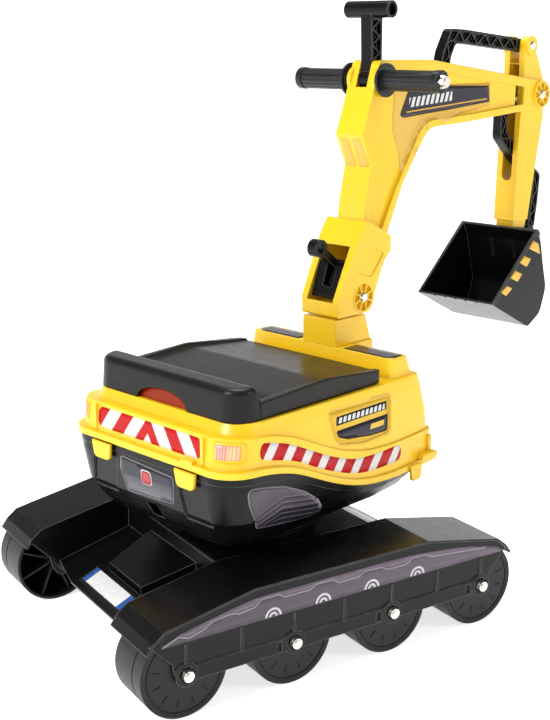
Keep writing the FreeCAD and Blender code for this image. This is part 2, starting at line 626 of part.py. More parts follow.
BOOM_OUTLINE = [(171, 436), (175, 462, 30), (184, 502, 8), (166.5, 537.5, 3), (180.5, 574, 30), (196, 622.5, 7),
                (296, 622, 60), (541, 591.3), (557.4, 573.5), (541, 555.7), (466, 550.5, 80), (376, 544.5, 80),
                (292, 541, 34), (244, 477, 80), (212, 410)]
HOUSING_OUTLINE = [(118, 328.4, 3), (118, 349, 10), (151.5, 419, 5), (166, 440, 4), (210, 418, 3), (211.5, 400, 3),
                   (198, 385, 30), (183.5, 347, 10), (183, 328.4, 15)]


BOOM_WEB = BOOM_HALF_WIDTH - 4.6     # outer face of the sunk side panel
WEB_WALL = 2.7


def boom_solid(half):
    upper = slab(BOOM_OUTLINE, 0, half)
    tip = rod_x(BOOM_TIP, 18, 0, half)
    return fuse(upper, tip)


def housing_solid(half, outline_points):
    block = slab(outline_points, 0, half)
    taper = curtain([(half - 4, 320), (half + 9, 320), (half + 9, 446), (half, 446)], 90, 240)
    return block.cut(taper)


def spoked_boss(center, radius, x0, x1, spokes, turn):
    """Raised pivot boss with a ring of pockets between spokes."""
    disc = rod_x(center, radius, x0, x1)
    pocket_ring = ring_x(center, radius - 2.4, 6.6, x1 - 4.5, x1 + 1)
    arms = []
    for i in range(spokes):
        arm = box(x1 - 6, x1 + 2, -1.0, 1.0, 5, radius)
        arm.rotate(FreeCAD.Vector(0, 0, 0), FreeCAD.Vector(1, 0, 0), 360 / spokes * i + turn)
        arm.translate(FreeCAD.Vector(0, center[0], center[1]))
        arms.append(arm)
    return disc, cut(pocket_ring, arms)


def boom_half():
    """Right half of the hollow boom; the left one is its mirror image."""
    ring = offset_ring(BOOM_OUTLINE, [SHELL_WALL] * len(BOOM_OUTLINE))
    cavity = slab(ring, -1, BOOM_WEB - WEB_WALL)
    housing_ring = offset_ring(HOUSING_OUTLINE, [SHELL_WALL] * len(HOUSING_OUTLINE))
    housing_cavity = slab(housing_ring, -1, HOUSING_HALF_WIDTH - 8.4)
    solid = fuse(boom_solid(BOOM_HALF_WIDTH), housing_solid(HOUSING_HALF_WIDTH, HOUSING_OUTLINE))
    neck = slab([(178, 420), (208, 405), (226, 440), (182, 460)], -1, BOOM_WEB - WEB_WALL)
    panel = slab([(206, 566, 5), (196, 540, 12), (193, 505, 10), (181.5, 440, 3), (206, 424, 3), (232, 472, 60),
                  (284, 549, 40), (380, 553.5), (500, 561.5, 3), (500, 584.5, 3), (290, 611.5, 40),
                  (226, 613, 6)], BOOM_WEB, 30)
    housing_panel = slab([(166, 412, 3), (200, 398, 3), (178, 371, 8), (150, 379, 3)],
                         HOUSING_HALF_WIDTH - 3.4, 45)
    upper_panel = panel.cut(box(-1, 60, 0, 240, 0, 420))
    half = solid.cut(cavity).cut(housing_cavity).cut(neck).cut(upper_panel).cut(housing_panel)
    # pivot bosses, inside and out
    base_disc, base_pockets = spoked_boss(BOOM_BASE, 18.6, 12.3, 29.6, 8, 22.5)
    tip_disc, tip_pockets = spoked_boss(BOOM_TIP, 18.0, 16.9, 24.0, 8, 22.5)
    handle_boss = rod_x(HANDLEBAR, 10.5, 8.6, BOOM_WEB)
    flange = rod_x(HANDLEBAR, 15.5, BOOM_WEB - 0.2, BOOM_HALF_WIDTH + 0.6)
    anchor_boss = rod_x(LINK_ANCHOR, 7, 7.2, BOOM_WEB - 0.5)
    screw_posts = [rod_x(c, 4.5, 0, BOOM_WEB - 0.5) for c in SCREW_SPOTS]
    half = fuse(half, base_disc, tip_disc, handle_boss, flange, anchor_boss, screw_posts)
    # openings
    lever_slot = slab([(160, 600), (168, 592, 5), (228, 592, 2), (228, 640), (160, 640)], -1, 8.5)
    link_slot = slab([(304, 600), (384, 592), (384, 640), (304, 640)], -1, 8.2)
    tip_fork = slab([(486, 530), (580, 530), (580, 620), (486, 620)], -1, DIPPER_HALF_WIDTH + 0.9)
    underside_slot = slab([(440, 530), (500, 530), (500, 560), (440, 560)], -1, 8.2)
    rear_opening = slab([(100, 346), (136, 346), (170, 410), (140, 410), (100, 380)], -1, 20.7)
    tongue_space = box(-1, 12.3, 124, 192, 300, 372)
    for opening in (lever_slot, link_slot, tip_fork, underside_slot, rear_opening, tongue_space,
                    base_pockets, tip_pockets):
        half = half.cut(opening)
    bores = [rod_x(BOOM_BASE, 5.05, -1, 40), rod_x(BOOM_TIP, 5.05, -1, 40), rod_x(HANDLEBAR, 5.02, -1, 40),
             rod_x(LINK_ANCHOR, 3.0, -1, 14), rod_x(LATCH_PIVOT, 2.0, 22, 27)]
    bores = bores + [rod_x(c, 1.5, -1, 14) for c in SCREW_SPOTS]
    return cut(half, bores)


SCREW_SPOTS = [(196, 452), (234, 586), (312, 551.5), (396, 592), (448, 592)]


def boom_screws():
    """Five self-tapping screws that join the boom halves, driven from the left."""
    return Part.makeCompound([rod_x(c, 1.5, -13, 12) for c in SCREW_SPOTS])


def pin(center, radius, reach, head):
    """Plain steel pivot bolt with a domed head at each end."""
    shank = rod_x(center, radius, -reach, reach)
    caps = []
    for side in (1, -1):
        cap = Part.makeCone(head, head * 0.7, 2.2, FreeCAD.Vector(side * reach, center[0], center[1]),
                            FreeCAD.Vector(side, 0, 0))
        caps.append(cap)
    return fuse(shank, caps)


def grip():
    """Right-hand grip sleeve with its inner flange, lengthwise ridges and end ring."""
    c = HANDLEBAR
    body = rod_x(c, 11.2, 24, 101)
    ridges = []
    for i in range(14):
        ridge = box(32, 99, -1.1, 1.1, 10.6, 12.1)
        ridge.rotate(FreeCAD.Vector(0, 0, 0), FreeCAD.Vector(1, 0, 0), 360 / 14 * i)
        ridge.translate(FreeCAD.Vector(0, c[0], c[1]))
        ridges.append(ridge)
    flange = rod_x(c, 19.5, 25.5, 28.0)
    collar = rod_x(c, 14.5, BOOM_HALF_WIDTH + 0.7, 25.6)
    end = rod_x(c, 13.0, 99.5, 107)
    return cut(fuse(body, ridges, flange, collar, end), rod_x(c, 5.02, 10, 120))


def zigzag(a, b, depth, count, x0, x1):
    """Diagonal ribs of a truss between two parallel edges along the line a-b."""
    u = unit(a, b)
    n = (-u[1], u[0])
    length = math.hypot(b[0] - a[0], b[1] - a[1])
    ribs = []
    for i in range(count):
        s0 = length * i / count
        s1 = length * (i + 1) / count
        side = depth / 2 if i % 2 == 0 else -depth / 2
        start = (a[0] + u[0] * s0 - n[0] * side, a[1] + u[1] * s0 - n[1] * side)
        end = (a[0] + u[0] * s1 + n[0] * side, a[1] + u[1] * s1 + n[1] * side)
        ribs.append(bar(start, end, 1.8, x0, x1))
    return ribs


def t_lever():
    """Black T handle; its hub turns on the handlebar rod and its lower arm drives the top link."""
    stem = slab([(193.2, 676), (196.3, 600), (214.5, 600), (214.2, 676)], -7.9, 7.9)
    pockets = slab([(196.4, 668), (199.2, 614), (212, 614), (211.4, 668)], 1.6, 9)
    ribs = zigzag((204.6, 612), (204.0, 668), 14, 6, 1, 7.2)
    stem = fuse(stem.cut(Part.makeCompound(both_sides(pockets))), *[both_sides(r) for r in ribs])
    grip_bar = rod_x((201.2, 679.9), 9.75, -32.8, 32.8)
    hub = rod_x(HANDLEBAR, 10.5, -7.9, 7.9)
    u = unit(HANDLEBAR, LEVER_CRANK)
    foot = (LEVER_CRANK[0] + u[0] * 7, LEVER_CRANK[1] + u[1] * 7)
    arm = fuse(bar(HANDLEBAR, foot, 20, -3.4, 3.4), rod_x(foot, 10, -3.4, 3.4))
    shape = fuse(stem, grip_bar, hub, arm)
    top = (LEVER_CRANK[0] - u[0] * 1.4, LEVER_CRANK[1] - u[1] * 1.4)
    low = (LEVER_CRANK[0] + u[0] * 8.6, LEVER_CRANK[1] + u[1] * 8.6)
    slot = fuse(bar(top, low, 8.0, -9, 9), rod_x(top, 4.0, -9, 9), rod_x(low, 4.0, -9, 9))
    ends = [rod_x((201.2, 679.9), 7.0, 24, 40), rod_x((201.2, 679.9), 7.0, -40, -24)]
    return cut(shape, slot, ends, rod_x(HANDLEBAR, 5.08, -20, 20))


def truss_rod(points, width, radii, x_half, web):
    """Bent rod drawn along a centre line: full-width flanges on both edges and a thin middle web."""
    line = [p for p in points]
    left = offset_line(line, -width / 2)
    right = offset_line(line, width / 2)
    full = [(p[0], p[1], r) for p, r in zip(left, radii)]
    full = full + [(p[0], p[1], r) for p, r in zip(right[::-1], radii[::-1])]
    solid = slab(full, -x_half, x_half)
    left_in = offset_line(line, -(width / 2 - 2.6))
    right_in = offset_line(line, width / 2 - 2.6)
    ring = left_in + right_in[::-1]
    pockets = slab(ring, web, x_half + 1)
    shape = solid.cut(Part.makeCompound(both_sides(pockets)))
    ribs = []
    for a, b in zip(line[:-1], line[1:]):
        length = math.hypot(b[0] - a[0], b[1] - a[1])
        count = max(2, int(round(length / (width * 0.85))))
        ribs.extend(zigzag(a, b, width - 4, count, web - 0.3, x_half - 0.4))
    keep = slab(full, -x_half - 5, x_half + 5)
    return fuse(shape, *[both_sides(r.common(keep)) for r in ribs])


TOP_LINK_LINE = [(256, 551.5), (318, 579), (337.5, 600), (344, 628), (357, 650.3), (380, 649.4), (497, 639.2)]


def top_link():
    """Black L-shaped push rod from the lever's arm, out through the boom's top, to the dipper's head."""
    rod = truss_rod(TOP_LINK_LINE, 17.5, [0, 14, 14, 18, 9, 30, 0], 6.6, 1.4)
    eye = rod_x(DIPPER_HEAD, 9, -6.6, 6.6)
    neck = bar(TOP_LINK_LINE[-1], DIPPER_HEAD, 14, -6.6, 6.6)
    cheeks = []
    u = unit(LEVER_CRANK, TOP_LINK_LINE[0])
    start = (LEVER_CRANK[0] + u[0] * 36, LEVER_CRANK[1] + u[1] * 36)
    for x0, x1 in ((4.0, 7.0), (-7.0, -4.0)):
        cheeks.append(bar(LEVER_CRANK, start, 14, x0, x1))
        cheeks.append(rod_x(LEVER_CRANK, 7, x0, x1))
    block = bar((TOP_LINK_LINE[0][0] - u[0] * 2, TOP_LINK_LINE[0][1] - u[1] * 2), start, 14, -7, 7)
    shape = fuse(rod, eye, neck, cheeks, block)
    gap = bar((LEVER_CRANK[0] - u[0] * 12, LEVER_CRANK[1] - u[1] * 12),
              (LEVER_CRANK[0] + u[0] * 26, LEVER_CRANK[1] + u[1] * 26), 40, -4.0, 4.0)
    return cut(shape, gap, rod_x(DIPPER_HEAD, 4.06, -20, 20), rod_x(LEVER_CRANK, 3.0, -20, 20))


# ---------------------------------------------------------------- dipper and bucket

DIPPER_OUTLINE = [(503.5, 638), (504.5, 603, 60), (498.5, 498, 60), (495.5, 404), (498.5, 403), (498.5, 380),
                  (521.5, 378), (529, 396, 6), (541.5, 467, 60), (556, 545, 40), (551.5, 594, 30), (527.5, 638)]


def dipper():
    """Yellow stick: hollow box with a slot in its back and an opening in its front for the bucket link."""
    solid = fuse(slab(DIPPER_OUTLINE, -DIPPER_HALF_WIDTH, DIPPER_HALF_WIDTH),
                 rod_x(DIPPER_HEAD, 12, -DIPPER_HALF_WIDTH, DIPPER_HALF_WIDTH),
                 rod_x(BUCKET_PIVOT, 12, -DIPPER_HALF_WIDTH + 2.6, DIPPER_HALF_WIDTH - 2.6))
    cavity = slab([(507.5, 612), (507, 603), (501.5, 498), (498.4, 407), (530.5, 407, 3), (538.6, 467, 60),
                   (553, 545, 40), (548.6, 592), (533, 616)], -12.9, 12.9)
    head_gap = slab([(490, 612), (520, 618), (545, 624), (545, 660), (490, 660)], -7.3, 7.3)
    back_slot = fuse(curtain([(-7.8, 466), (7.8, 466), (7.8, 614), (-7.8, 614)], 480, 512),
                     Part.makeCylinder(7.8, 32, FreeCAD.Vector(0, 480, 466), FreeCAD.Vector(0, 1, 0)))
    front_slot = curtain([(-8, 406), (8, 406), (8, 500), (-8, 500)], 515, 575)
    narrow = [box(13.2, 20, 480, 560, 360, 403), box(-20, -13.2, 480, 560, 360, 403)]
    bosses = [rod_x(BOOM_TIP, 9, -DIPPER_HALF_WIDTH, DIPPER_HALF_WIDTH)]
    shape = cut(solid, cavity, narrow)
    web = [slab([(503, 636), (515, 640), (545, 604), (552, 585), (530, 585), (504, 603)], x0, x1)
           for x0, x1 in ((7.4, 9.6), (-9.6, -7.4))]
    raised = [rod_x(DIPPER_HEAD, 12.4, DIPPER_HALF_WIDTH - 1, 19.6),
              rod_x(DIPPER_HEAD, 12.4, -19.6, 1 - DIPPER_HALF_WIDTH)]
    shape = fuse(shape, bosses, [w.common(slab(DIPPER_OUTLINE, -20, 20)) for w in web], raised)
    return cut(shape, head_gap, back_slot, front_slot, rod_x(BOOM_TIP, 5.08, -30, 30),
               rod_x(DIPPER_HEAD, 4.0, -30, 30), rod_x(BUCKET_PIVOT, 4.0, -30, 30))


BUCKET_OUTLINE = [(387, 309.5), (485.5, 397.5), (496, 380, 8), (503.5, 351, 60), (514.5, 315, 22),
                  (503, 281, 22), (474, 265.5, 10)]


def bucket():
    """Black digging bucket, open towards the back, with a notched lip and two hinge ears."""
    outer = slab(BUCKET_OUTLINE, -BUCKET_HALF_WIDTH, BUCKET_HALF_WIDTH)
    walls = [-14] + [2.8] * (len(BUCKET_OUTLINE) - 1)
    inner = slab(offset_ring(BUCKET_OUTLINE, walls), -BUCKET_HALF_WIDTH + 2.8, BUCKET_HALF_WIDTH - 2.8)
    u = unit(BUCKET_OUTLINE[0], BUCKET_OUTLINE[1])
    rim_a = (BUCKET_OUTLINE[0][0] + u[0] * 2, BUCKET_OUTLINE[0][1] + u[1] * 2)
    rim_b = (BUCKET_OUTLINE[1][0] - u[0] * 1, BUCKET_OUTLINE[1][1] - u[1] * 1)
    rim_start = (rim_a[0] + 2, rim_a[1] - 2)
    rim_end = (rim_b[0] + 1, rim_b[1] - 1)
    rims = [bar(rim_start, rim_end, 4, BUCKET_HALF_WIDTH - 0.5, BUCKET_HALF_WIDTH + 0.7)]
    shape = fuse(outer.cut(inner), *[both_sides(r) for r in rims])
    notches = [box(x - 2.2, x + 2.2, 384, 391.5, 300, 316) for x in (-34, -17, 0, 17, 34)]
    ears = []
    for x0, x1 in ((16.2, 19.4), (-19.4, -16.2)):
        ears.append(slab([(490, 392, 2), (512, 394, 6), (556, 386, 8), (565, 372, 8), (545, 362, 8), (508, 338, 4),
                          (500, 352)], x0, x1))
    shape = fuse(cut(shape, notches), ears)
    bosses = [rod_x(BUCKET_CRANK, 7, 7.2, 16.4), rod_x(BUCKET_CRANK, 7, -16.4, -7.2)]
    shape = fuse(shape, bosses)
    return cut(shape, rod_x(BUCKET_PIVOT, 4.08, -30, 30), rod_x(BUCKET_CRANK, 3.0, -30, 30),
               rod_x(BUCKET_PIVOT, 14.0, -16.0, 16.0))


BUCKET_LINK_LINE = [(477.5, 556), (477.5, 521), (512, 491.5), (563.5, 457.5), (561, 426), (555.5, 391)]


def bucket_link():
    """Black bent rod from the boom, down through the dipper, to the bucket's rear ears."""
    rod = truss_rod(BUCKET_LINK_LINE, 16.5, [0, 9, 0, 9, 20, 0], 6.2, 1.4)
    foot = fuse(bar(BUCKET_LINK_LINE[-1], BUCKET_CRANK, 14, -6.2, 6.2), rod_x(BUCKET_CRANK, 7.5, -6.2, 6.2))
    head = fuse(bar(BUCKET_LINK_LINE[0], LINK_ANCHOR, 17, -6.2, 6.2), rod_x(LINK_ANCHOR, 12.0, -6.2, 6.2))
    shape = fuse(rod, foot, head)
    window = rod_x(LINK_ANCHOR, 8.2, -10, 10)
    return cut(shape, window, rod_x(BUCKET_CRANK, 3.06, -20, 20))


# ---------------------------------------------------------------- boom lock

def latch_block():
    """Black housing that fills the boom's rear opening and carries the lock lever in its slot."""
    outer = slab([(126, 348.5, 2), (134, 348.5), (163, 390, 2), (141, 392, 3)], -20.4, 20.4)
    slot = slab([(110, 362), (142.5, 362), (160, 394), (110, 394)], -7.2, 7.2)
    return outer.cut(slot).cut(rod_x(LATCH_PIVOT, 2.0, -30, 30))


def latch_lever():
    """Black pull ring on a short arm that turns in the latch block."""
    loop = rod_x(LATCH_RING, 10.5, -6.5, 6.5)
    arm = bar(LATCH_RING, LATCH_PIVOT, 9, -6.5, 6.5)
    shape = fuse(arm, rod_x(LATCH_PIVOT, 5, -6.5, 6.5), loop)
    return cut(shape, rod_x(LATCH_RING, 6.5, -9, 9), rod_x(LATCH_PIVOT, 2.08, -20, 20))


def upper_body():
    PARTS["bowl"] = bowl()
    PARTS["body_shell"] = body_shell()
    PARTS["rim_clips"] = Part.makeCompound(rim_clips())
    PARTS["storage_bin"] = storage_bin()
    PARTS["kingpin"] = kingpin()
    PARTS["boom_bracket"] = boom_bracket()
    PARTS["bracket_screws"] = bracket_screws()
    PARTS["seat_lid"] = seat_lid()
    PARTS["seat_hinge_pins"] = seat_hinge_pins()


def arm_parts():
    right = boom_half()
    PARTS["boom_half_right"] = right
    PARTS["boom_half_left"] = mirror_x(right)
    PARTS["boom_screws"] = boom_screws()
    PARTS["boom_base_bolt"] = pin(BOOM_BASE, 5.0, 29.65, 6.2)
    PARTS["boom_tip_bolt"] = pin(BOOM_TIP, 5.0, 24.2, 6.2)
    PARTS["handlebar_rod"] = rod_x(HANDLEBAR, 5.0, -114.9, 114.9)
    right_grip = grip()
    PARTS["grip_right"] = right_grip
    PARTS["grip_left"] = mirror_x(right_grip)
    end_nuts = [nut_x(HANDLEBAR, s * 107.05, s, 15.0, 6.2, 5.02) for s in (1, -1)]
    PARTS["handlebar_nuts"] = Part.makeCompound(end_nuts)
    PARTS["t_lever"] = t_lever()
    PARTS["top_link"] = top_link()
    PARTS["top_link_pin"] = rod_x(LEVER_CRANK, 3.0, -7.6, 7.6)
    PARTS["link_anchor_pin"] = rod_x(LINK_ANCHOR, 3.0, -13.5, 13.5)
    PARTS["dipper"] = dipper()
    PARTS["dipper_head_bolt"] = pin(DIPPER_HEAD, 4.0, 19.8, 6.0)
    PARTS["bucket"] = bucket()
    PARTS["bucket_pivot_bolt"] = pin(BUCKET_PIVOT, 4.0, 19.6, 6.0)
    PARTS["bucket_link"] = bucket_link()
    PARTS["bucket_link_bolt"] = pin(BUCKET_CRANK, 3.0, 19.6, 4.6)
    PARTS["latch_block"] = latch_block()
    PARTS["latch_lever"] = latch_lever()
    PARTS["latch_pin"] = rod_x(LATCH_PIVOT, 2.0, -26.9, 26.9)


undercarriage()
fixed_names = set(PARTS)
upper_body()
arm_parts()
for name, shape in PARTS.items():
    if name not in fixed_names:
        shape.rotate(FreeCAD.Vector(0, 0, 0), FreeCAD.Vector(0, 0, 1), SLEW_DEGREES)

everything = Part.makeCompound(list(PARTS.values())).BoundBox
os.makedirs("parts", exist_ok=True)
for name, shape in PARTS.items():
    shape.translate(FreeCAD.Vector(0, -everything.Center.y, -everything.ZMin))
    shape.exportStep("parts/" + name + ".step")
    print(name, len(shape.Solids), "valid" if shape.isValid() else "INVALID", round(shape.Volume))
print("moved by y", -everything.Center.y, "z", -everything.ZMin, "x centre", everything.Center.x)
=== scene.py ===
import json
import math

import bmesh
import bpy
from mathutils import Matrix, Vector
from mathutils.bvhtree import BVHTree
from mathutils.geometry import delaunay_2d_cdt


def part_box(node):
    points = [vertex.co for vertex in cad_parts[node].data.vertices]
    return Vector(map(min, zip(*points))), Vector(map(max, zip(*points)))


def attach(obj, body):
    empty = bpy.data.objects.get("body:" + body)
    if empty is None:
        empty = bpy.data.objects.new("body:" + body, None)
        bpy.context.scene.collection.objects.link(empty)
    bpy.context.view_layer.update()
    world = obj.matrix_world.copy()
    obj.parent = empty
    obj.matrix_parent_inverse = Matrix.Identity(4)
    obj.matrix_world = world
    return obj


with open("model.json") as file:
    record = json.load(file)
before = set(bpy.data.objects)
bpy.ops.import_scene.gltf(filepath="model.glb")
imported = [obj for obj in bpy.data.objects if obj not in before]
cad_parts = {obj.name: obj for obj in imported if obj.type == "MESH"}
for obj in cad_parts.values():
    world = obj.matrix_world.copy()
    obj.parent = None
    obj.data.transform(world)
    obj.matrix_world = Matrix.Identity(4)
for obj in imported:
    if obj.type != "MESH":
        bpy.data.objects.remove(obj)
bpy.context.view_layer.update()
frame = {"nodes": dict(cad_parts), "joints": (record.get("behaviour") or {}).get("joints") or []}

# Sizes below are in millimetres. Two working frames turn them into the row's metres: "base" is the
# undercarriage's, its origin on the floor under the turntable, and "upper" is the slewed body's.
JOINTS = {joint["name"]: joint for joint in frame["joints"]}
SLEW_X, SLEW_Y = JOINTS["body_slew"]["pos_m"][:2]
HINGE_AXIS = JOINTS["lever_swing"]["axis"]
SLEW_ANGLE = math.atan2(HINGE_AXIS[1], HINGE_AXIS[0])
BASE = Matrix.Translation((SLEW_X, SLEW_Y, 0)) @ Matrix.Scale(0.001, 4)
UPPER = (Matrix.Translation((SLEW_X, SLEW_Y, 0)) @ Matrix.Rotation(SLEW_ANGLE, 4, "Z")
         @ Matrix.Scale(0.001, 4))


# ---------------------------------------------------------------- shader helpers

def add_node(tree, kind, sockets=None, **settings):
    """One shader node; a socket is set to a value, or linked when the value is another socket."""
    node = tree.nodes.new(kind)
    for key, value in settings.items():
        setattr(node, key, value)
    for key, value in (sockets or {}).items():
        if isinstance(value, bpy.types.NodeSocket):
            tree.links.new(value, node.inputs[key])
        else:
            node.inputs[key].default_value = value
    return node


def calc(tree, operation, a, b=0.0, c=0.0):
    """The result of one Math node."""
    return add_node(tree, "ShaderNodeMath", {0: a, 1: b, 2: c}, operation=operation).outputs[0]


def mix_color(tree, factor, a, b):
    """Colour a where the factor is 0, colour b where it is 1."""
    node = add_node(tree, "ShaderNodeMix", {"Factor": factor, 6: a, 7: b}, data_type="RGBA")
    return node.outputs[2]


def object_place(tree):
    """A point's place on its piece, in metres."""
    return add_node(tree, "ShaderNodeTexCoord").outputs["Object"]


def noise(tree, place, scale, detail=2.0, roughness=0.5):
    """A noise texture's value, 0 to 1."""
    return add_node(tree, "ShaderNodeTexNoise", {"Vector": place, "Scale": scale, "Detail": detail,
                                                 "Roughness": roughness}).outputs["Fac"]


def new_material(name):
    """An empty material with its output and one Principled shader."""
    material = bpy.data.materials.new(name)
    material.use_nodes = True
    tree = material.node_tree
    tree.nodes.clear()
    output = tree.nodes.new("ShaderNodeOutputMaterial")
    shader = tree.nodes.new("ShaderNodeBsdfPrincipled")
    tree.links.new(shader.outputs[0], output.inputs["Surface"])
    return material, tree, shader


def moulded(name, color, dark, edge, roughness, grain=900.0, grain_depth=0.10, edge_size=0.0012,
            edge_highlight_gain=0.6, subsurface=0.0, specular=0.5):
    """Moulded plastic: colour drift, fine grain, lighter edges that are a patchy painted highlight,
    rounded edge highlights.
    """
    material, tree, shader = new_material(name)
    place = object_place(tree)
    drift = noise(tree, place, 9.0, 3.0, 0.6)
    cloud = noise(tree, place, 60.0, 5.0, 0.65)
    speck = noise(tree, place, grain)
    rounded = add_node(tree, "ShaderNodeBevel", {"Radius": edge_size}, samples=8).outputs[0]
    true_normal = add_node(tree, "ShaderNodeNewGeometry").outputs["Normal"]
    match = add_node(tree, "ShaderNodeVectorMath", {0: rounded, 1: true_normal},
                     operation="DOT_PRODUCT").outputs["Value"]
    # Painted highlight: the edge colour is laid along edges, where the rounded normals turn away,
    # in patches.
    edge_highlight_mask = calc(tree, "MULTIPLY", calc(tree, "SUBTRACT", 1.0, match), 4.0)
    edge_highlight_mask = calc(tree, "MULTIPLY", calc(tree, "MINIMUM", edge_highlight_mask, 1.0),
                     calc(tree, "MULTIPLY", cloud, edge_highlight_gain))
    body = mix_color(tree, drift, dark, color)
    tree.links.new(mix_color(tree, edge_highlight_mask, body, edge), shader.inputs["Base Color"])
    rough = calc(tree, "MULTIPLY_ADD", cloud, 0.16, roughness - 0.08)
    tree.links.new(rough, shader.inputs["Roughness"])
    bump = add_node(tree, "ShaderNodeBump", {"Strength": grain_depth, "Distance": 0.0003,
                                             "Height": speck, "Normal": rounded}).outputs[0]
    tree.links.new(bump, shader.inputs["Normal"])
    shader.inputs["Specular IOR Level"].default_value = specular
    if subsurface:
        shader.inputs["Subsurface Weight"].default_value = subsurface
        shader.inputs["Subsurface Scale"].default_value = 0.004
        shader.inputs["Subsurface Radius"].default_value = (1.0, 0.55, 0.1)
    return material


def plated(name, color, roughness):
    """Zinc-plated steel with fine turning marks and a faint cloudy tint."""
    material, tree, shader = new_material(name)
    place = object_place(tree)
    cloud = noise(tree, place, 180.0, 4.0)
    warm = (color[0], color[1] * 0.93, color[2] * 0.80, 1)
    tree.links.new(mix_color(tree, cloud, color, warm), shader.inputs["Base Color"])
    shader.inputs["Metallic"].default_value = 1.0
    tree.links.new(calc(tree, "MULTIPLY_ADD", cloud, 0.2, roughness - 0.1),
                   shader.inputs["Roughness"])
    rounded = add_node(tree, "ShaderNodeBevel", {"Radius": 0.0006}, samples=4).outputs[0]
    fine = noise(tree, place, 1500.0)
    bump = add_node(tree, "ShaderNodeBump", {"Strength": 0.15, "Distance": 0.0002, "Height": fine,
                                             "Normal": rounded}).outputs[0]
    tree.links.new(bump, shader.inputs["Normal"])
    return material


def printed(name, paint, roughness=0.3, specular=0.3):
    """Printed film: paint(tree, u, v) returns its colour socket from the sheet's millimetres."""
    material, tree, shader = new_material(name)
    spot = add_node(tree, "ShaderNodeUVMap", uv_map="mm").outputs[0]
    parts = add_node(tree, "ShaderNodeSeparateXYZ", {"Vector": spot})
    color = paint(tree, parts.outputs["X"], parts.outputs["Y"])
    haze = noise(tree, object_place(tree), 220.0, 3.0)
    shade = mix_color(tree, calc(tree, "MULTIPLY", haze, 0.012), color, (0.5, 0.5, 0.5, 1))
    tree.links.new(shade, shader.inputs["Base Color"])
    tree.links.new(calc(tree, "MULTIPLY_ADD", haze, 0.12, roughness - 0.06),
                   shader.inputs["Roughness"])
    shader.inputs["Specular IOR Level"].default_value = specular
    return material


def plain_ink(color, second=None, scale=120.0):
    """Paint of one ink whose tone drifts slightly."""
    other = second or tuple(c * 0.8 for c in color[:3]) + (1,)

    def paint(tree, u, v):
        return mix_color(tree, noise(tree, object_place(tree), scale), color, other)
    return paint


# ---------------------------------------------------------------- colours and materials

# Each moulded plastic's third colour is a painted highlight laid along its edges.
YELLOW = moulded("yellow_plastic", (0.89, 0.575, 0.012, 1), (0.85, 0.515, 0.006, 1),
                 (1.0, 0.74, 0.08, 1), 0.30, grain=1100, grain_depth=0.05, edge_size=0.0020,
                 edge_highlight_gain=0.9, subsurface=0.08)
# Painted shade: this deep orange-red stands in for the shell's yellow in deep shadow, reddened by
# light bouncing inside it.
SHADE_ORANGE = moulded("bin_painted_shade", (0.30, 0.022, 0.001, 1), (0.22, 0.014, 0.001, 1),
                     (0.45, 0.06, 0.005, 1), 0.40, specular=0.2)
BLACK = moulded("black_plastic", (0.0040, 0.0040, 0.0041, 1), (0.0028, 0.0028, 0.0029, 1),
                (0.30, 0.30, 0.28, 1), 0.25, grain=1300, grain_depth=0.05, edge_size=0.0014,
                edge_highlight_gain=0.95, specular=0.20)
SEAT_BLACK = moulded("seat_plastic", (0.0085, 0.0078, 0.0070, 1), (0.0056, 0.0051, 0.0046, 1),
                     (0.09, 0.085, 0.075, 1), 0.33, grain=1500, edge_size=0.004, edge_highlight_gain=0.30,
                     specular=0.22)
WHEEL_BLACK = moulded("wheel_plastic", (0.0115, 0.0120, 0.0145, 1), (0.0080, 0.0085, 0.0105, 1),
                      (0.07, 0.073, 0.082, 1), 0.42, grain=1000, grain_depth=0.20,
                      edge_highlight_gain=0.45, specular=0.24)
GRIP_BLACK = moulded("grip_plastic", (0.010, 0.0105, 0.0125, 1), (0.007, 0.0075, 0.0090, 1),
                     (0.14, 0.14, 0.15, 1), 0.30, grain=1400, grain_depth=0.16, specular=0.34)
STEEL = plated("zinc_steel", (0.72, 0.72, 0.70, 1), 0.24)


PLATE_BAND_START = 0.80       # where the plate's blue bands begin, as a share of its half width
PLATE_RIM = 0.0011            # m


def plate_material():
    """Blank number plate: a white field, a dark rim line and a blue band at each end."""
    material, tree, shader = new_material("licence_plate")
    low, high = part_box("licence_plate")
    middle = [(low[i] + high[i]) / 2 for i in range(3)]
    half = [(high[i] - low[i]) / 2 for i in range(3)]
    place = object_place(tree)
    spot = add_node(tree, "ShaderNodeSeparateXYZ", {"Vector": place})
    across = calc(tree, "ABSOLUTE", calc(tree, "SUBTRACT", spot.outputs["X"], middle[0]))
    along = calc(tree, "ABSOLUTE", calc(tree, "SUBTRACT", spot.outputs["Y"], middle[1]))
    haze = noise(tree, place, 160.0, 3.0)
    field = mix_color(tree, haze, (0.79, 0.79, 0.78, 1), (0.84, 0.84, 0.83, 1))
    band = calc(tree, "GREATER_THAN", across, half[0] * PLATE_BAND_START)
    body = mix_color(tree, band, field, (0.012, 0.085, 0.34, 1))
    rim = calc(tree, "MAXIMUM", calc(tree, "GREATER_THAN", across, half[0] - PLATE_RIM),
               calc(tree, "GREATER_THAN", along, half[1] - PLATE_RIM))
    tree.links.new(mix_color(tree, rim, body, (0.03, 0.03, 0.03, 1)), shader.inputs["Base Color"])
    tree.links.new(calc(tree, "MULTIPLY_ADD", haze, 0.1, 0.22), shader.inputs["Roughness"])
    return material


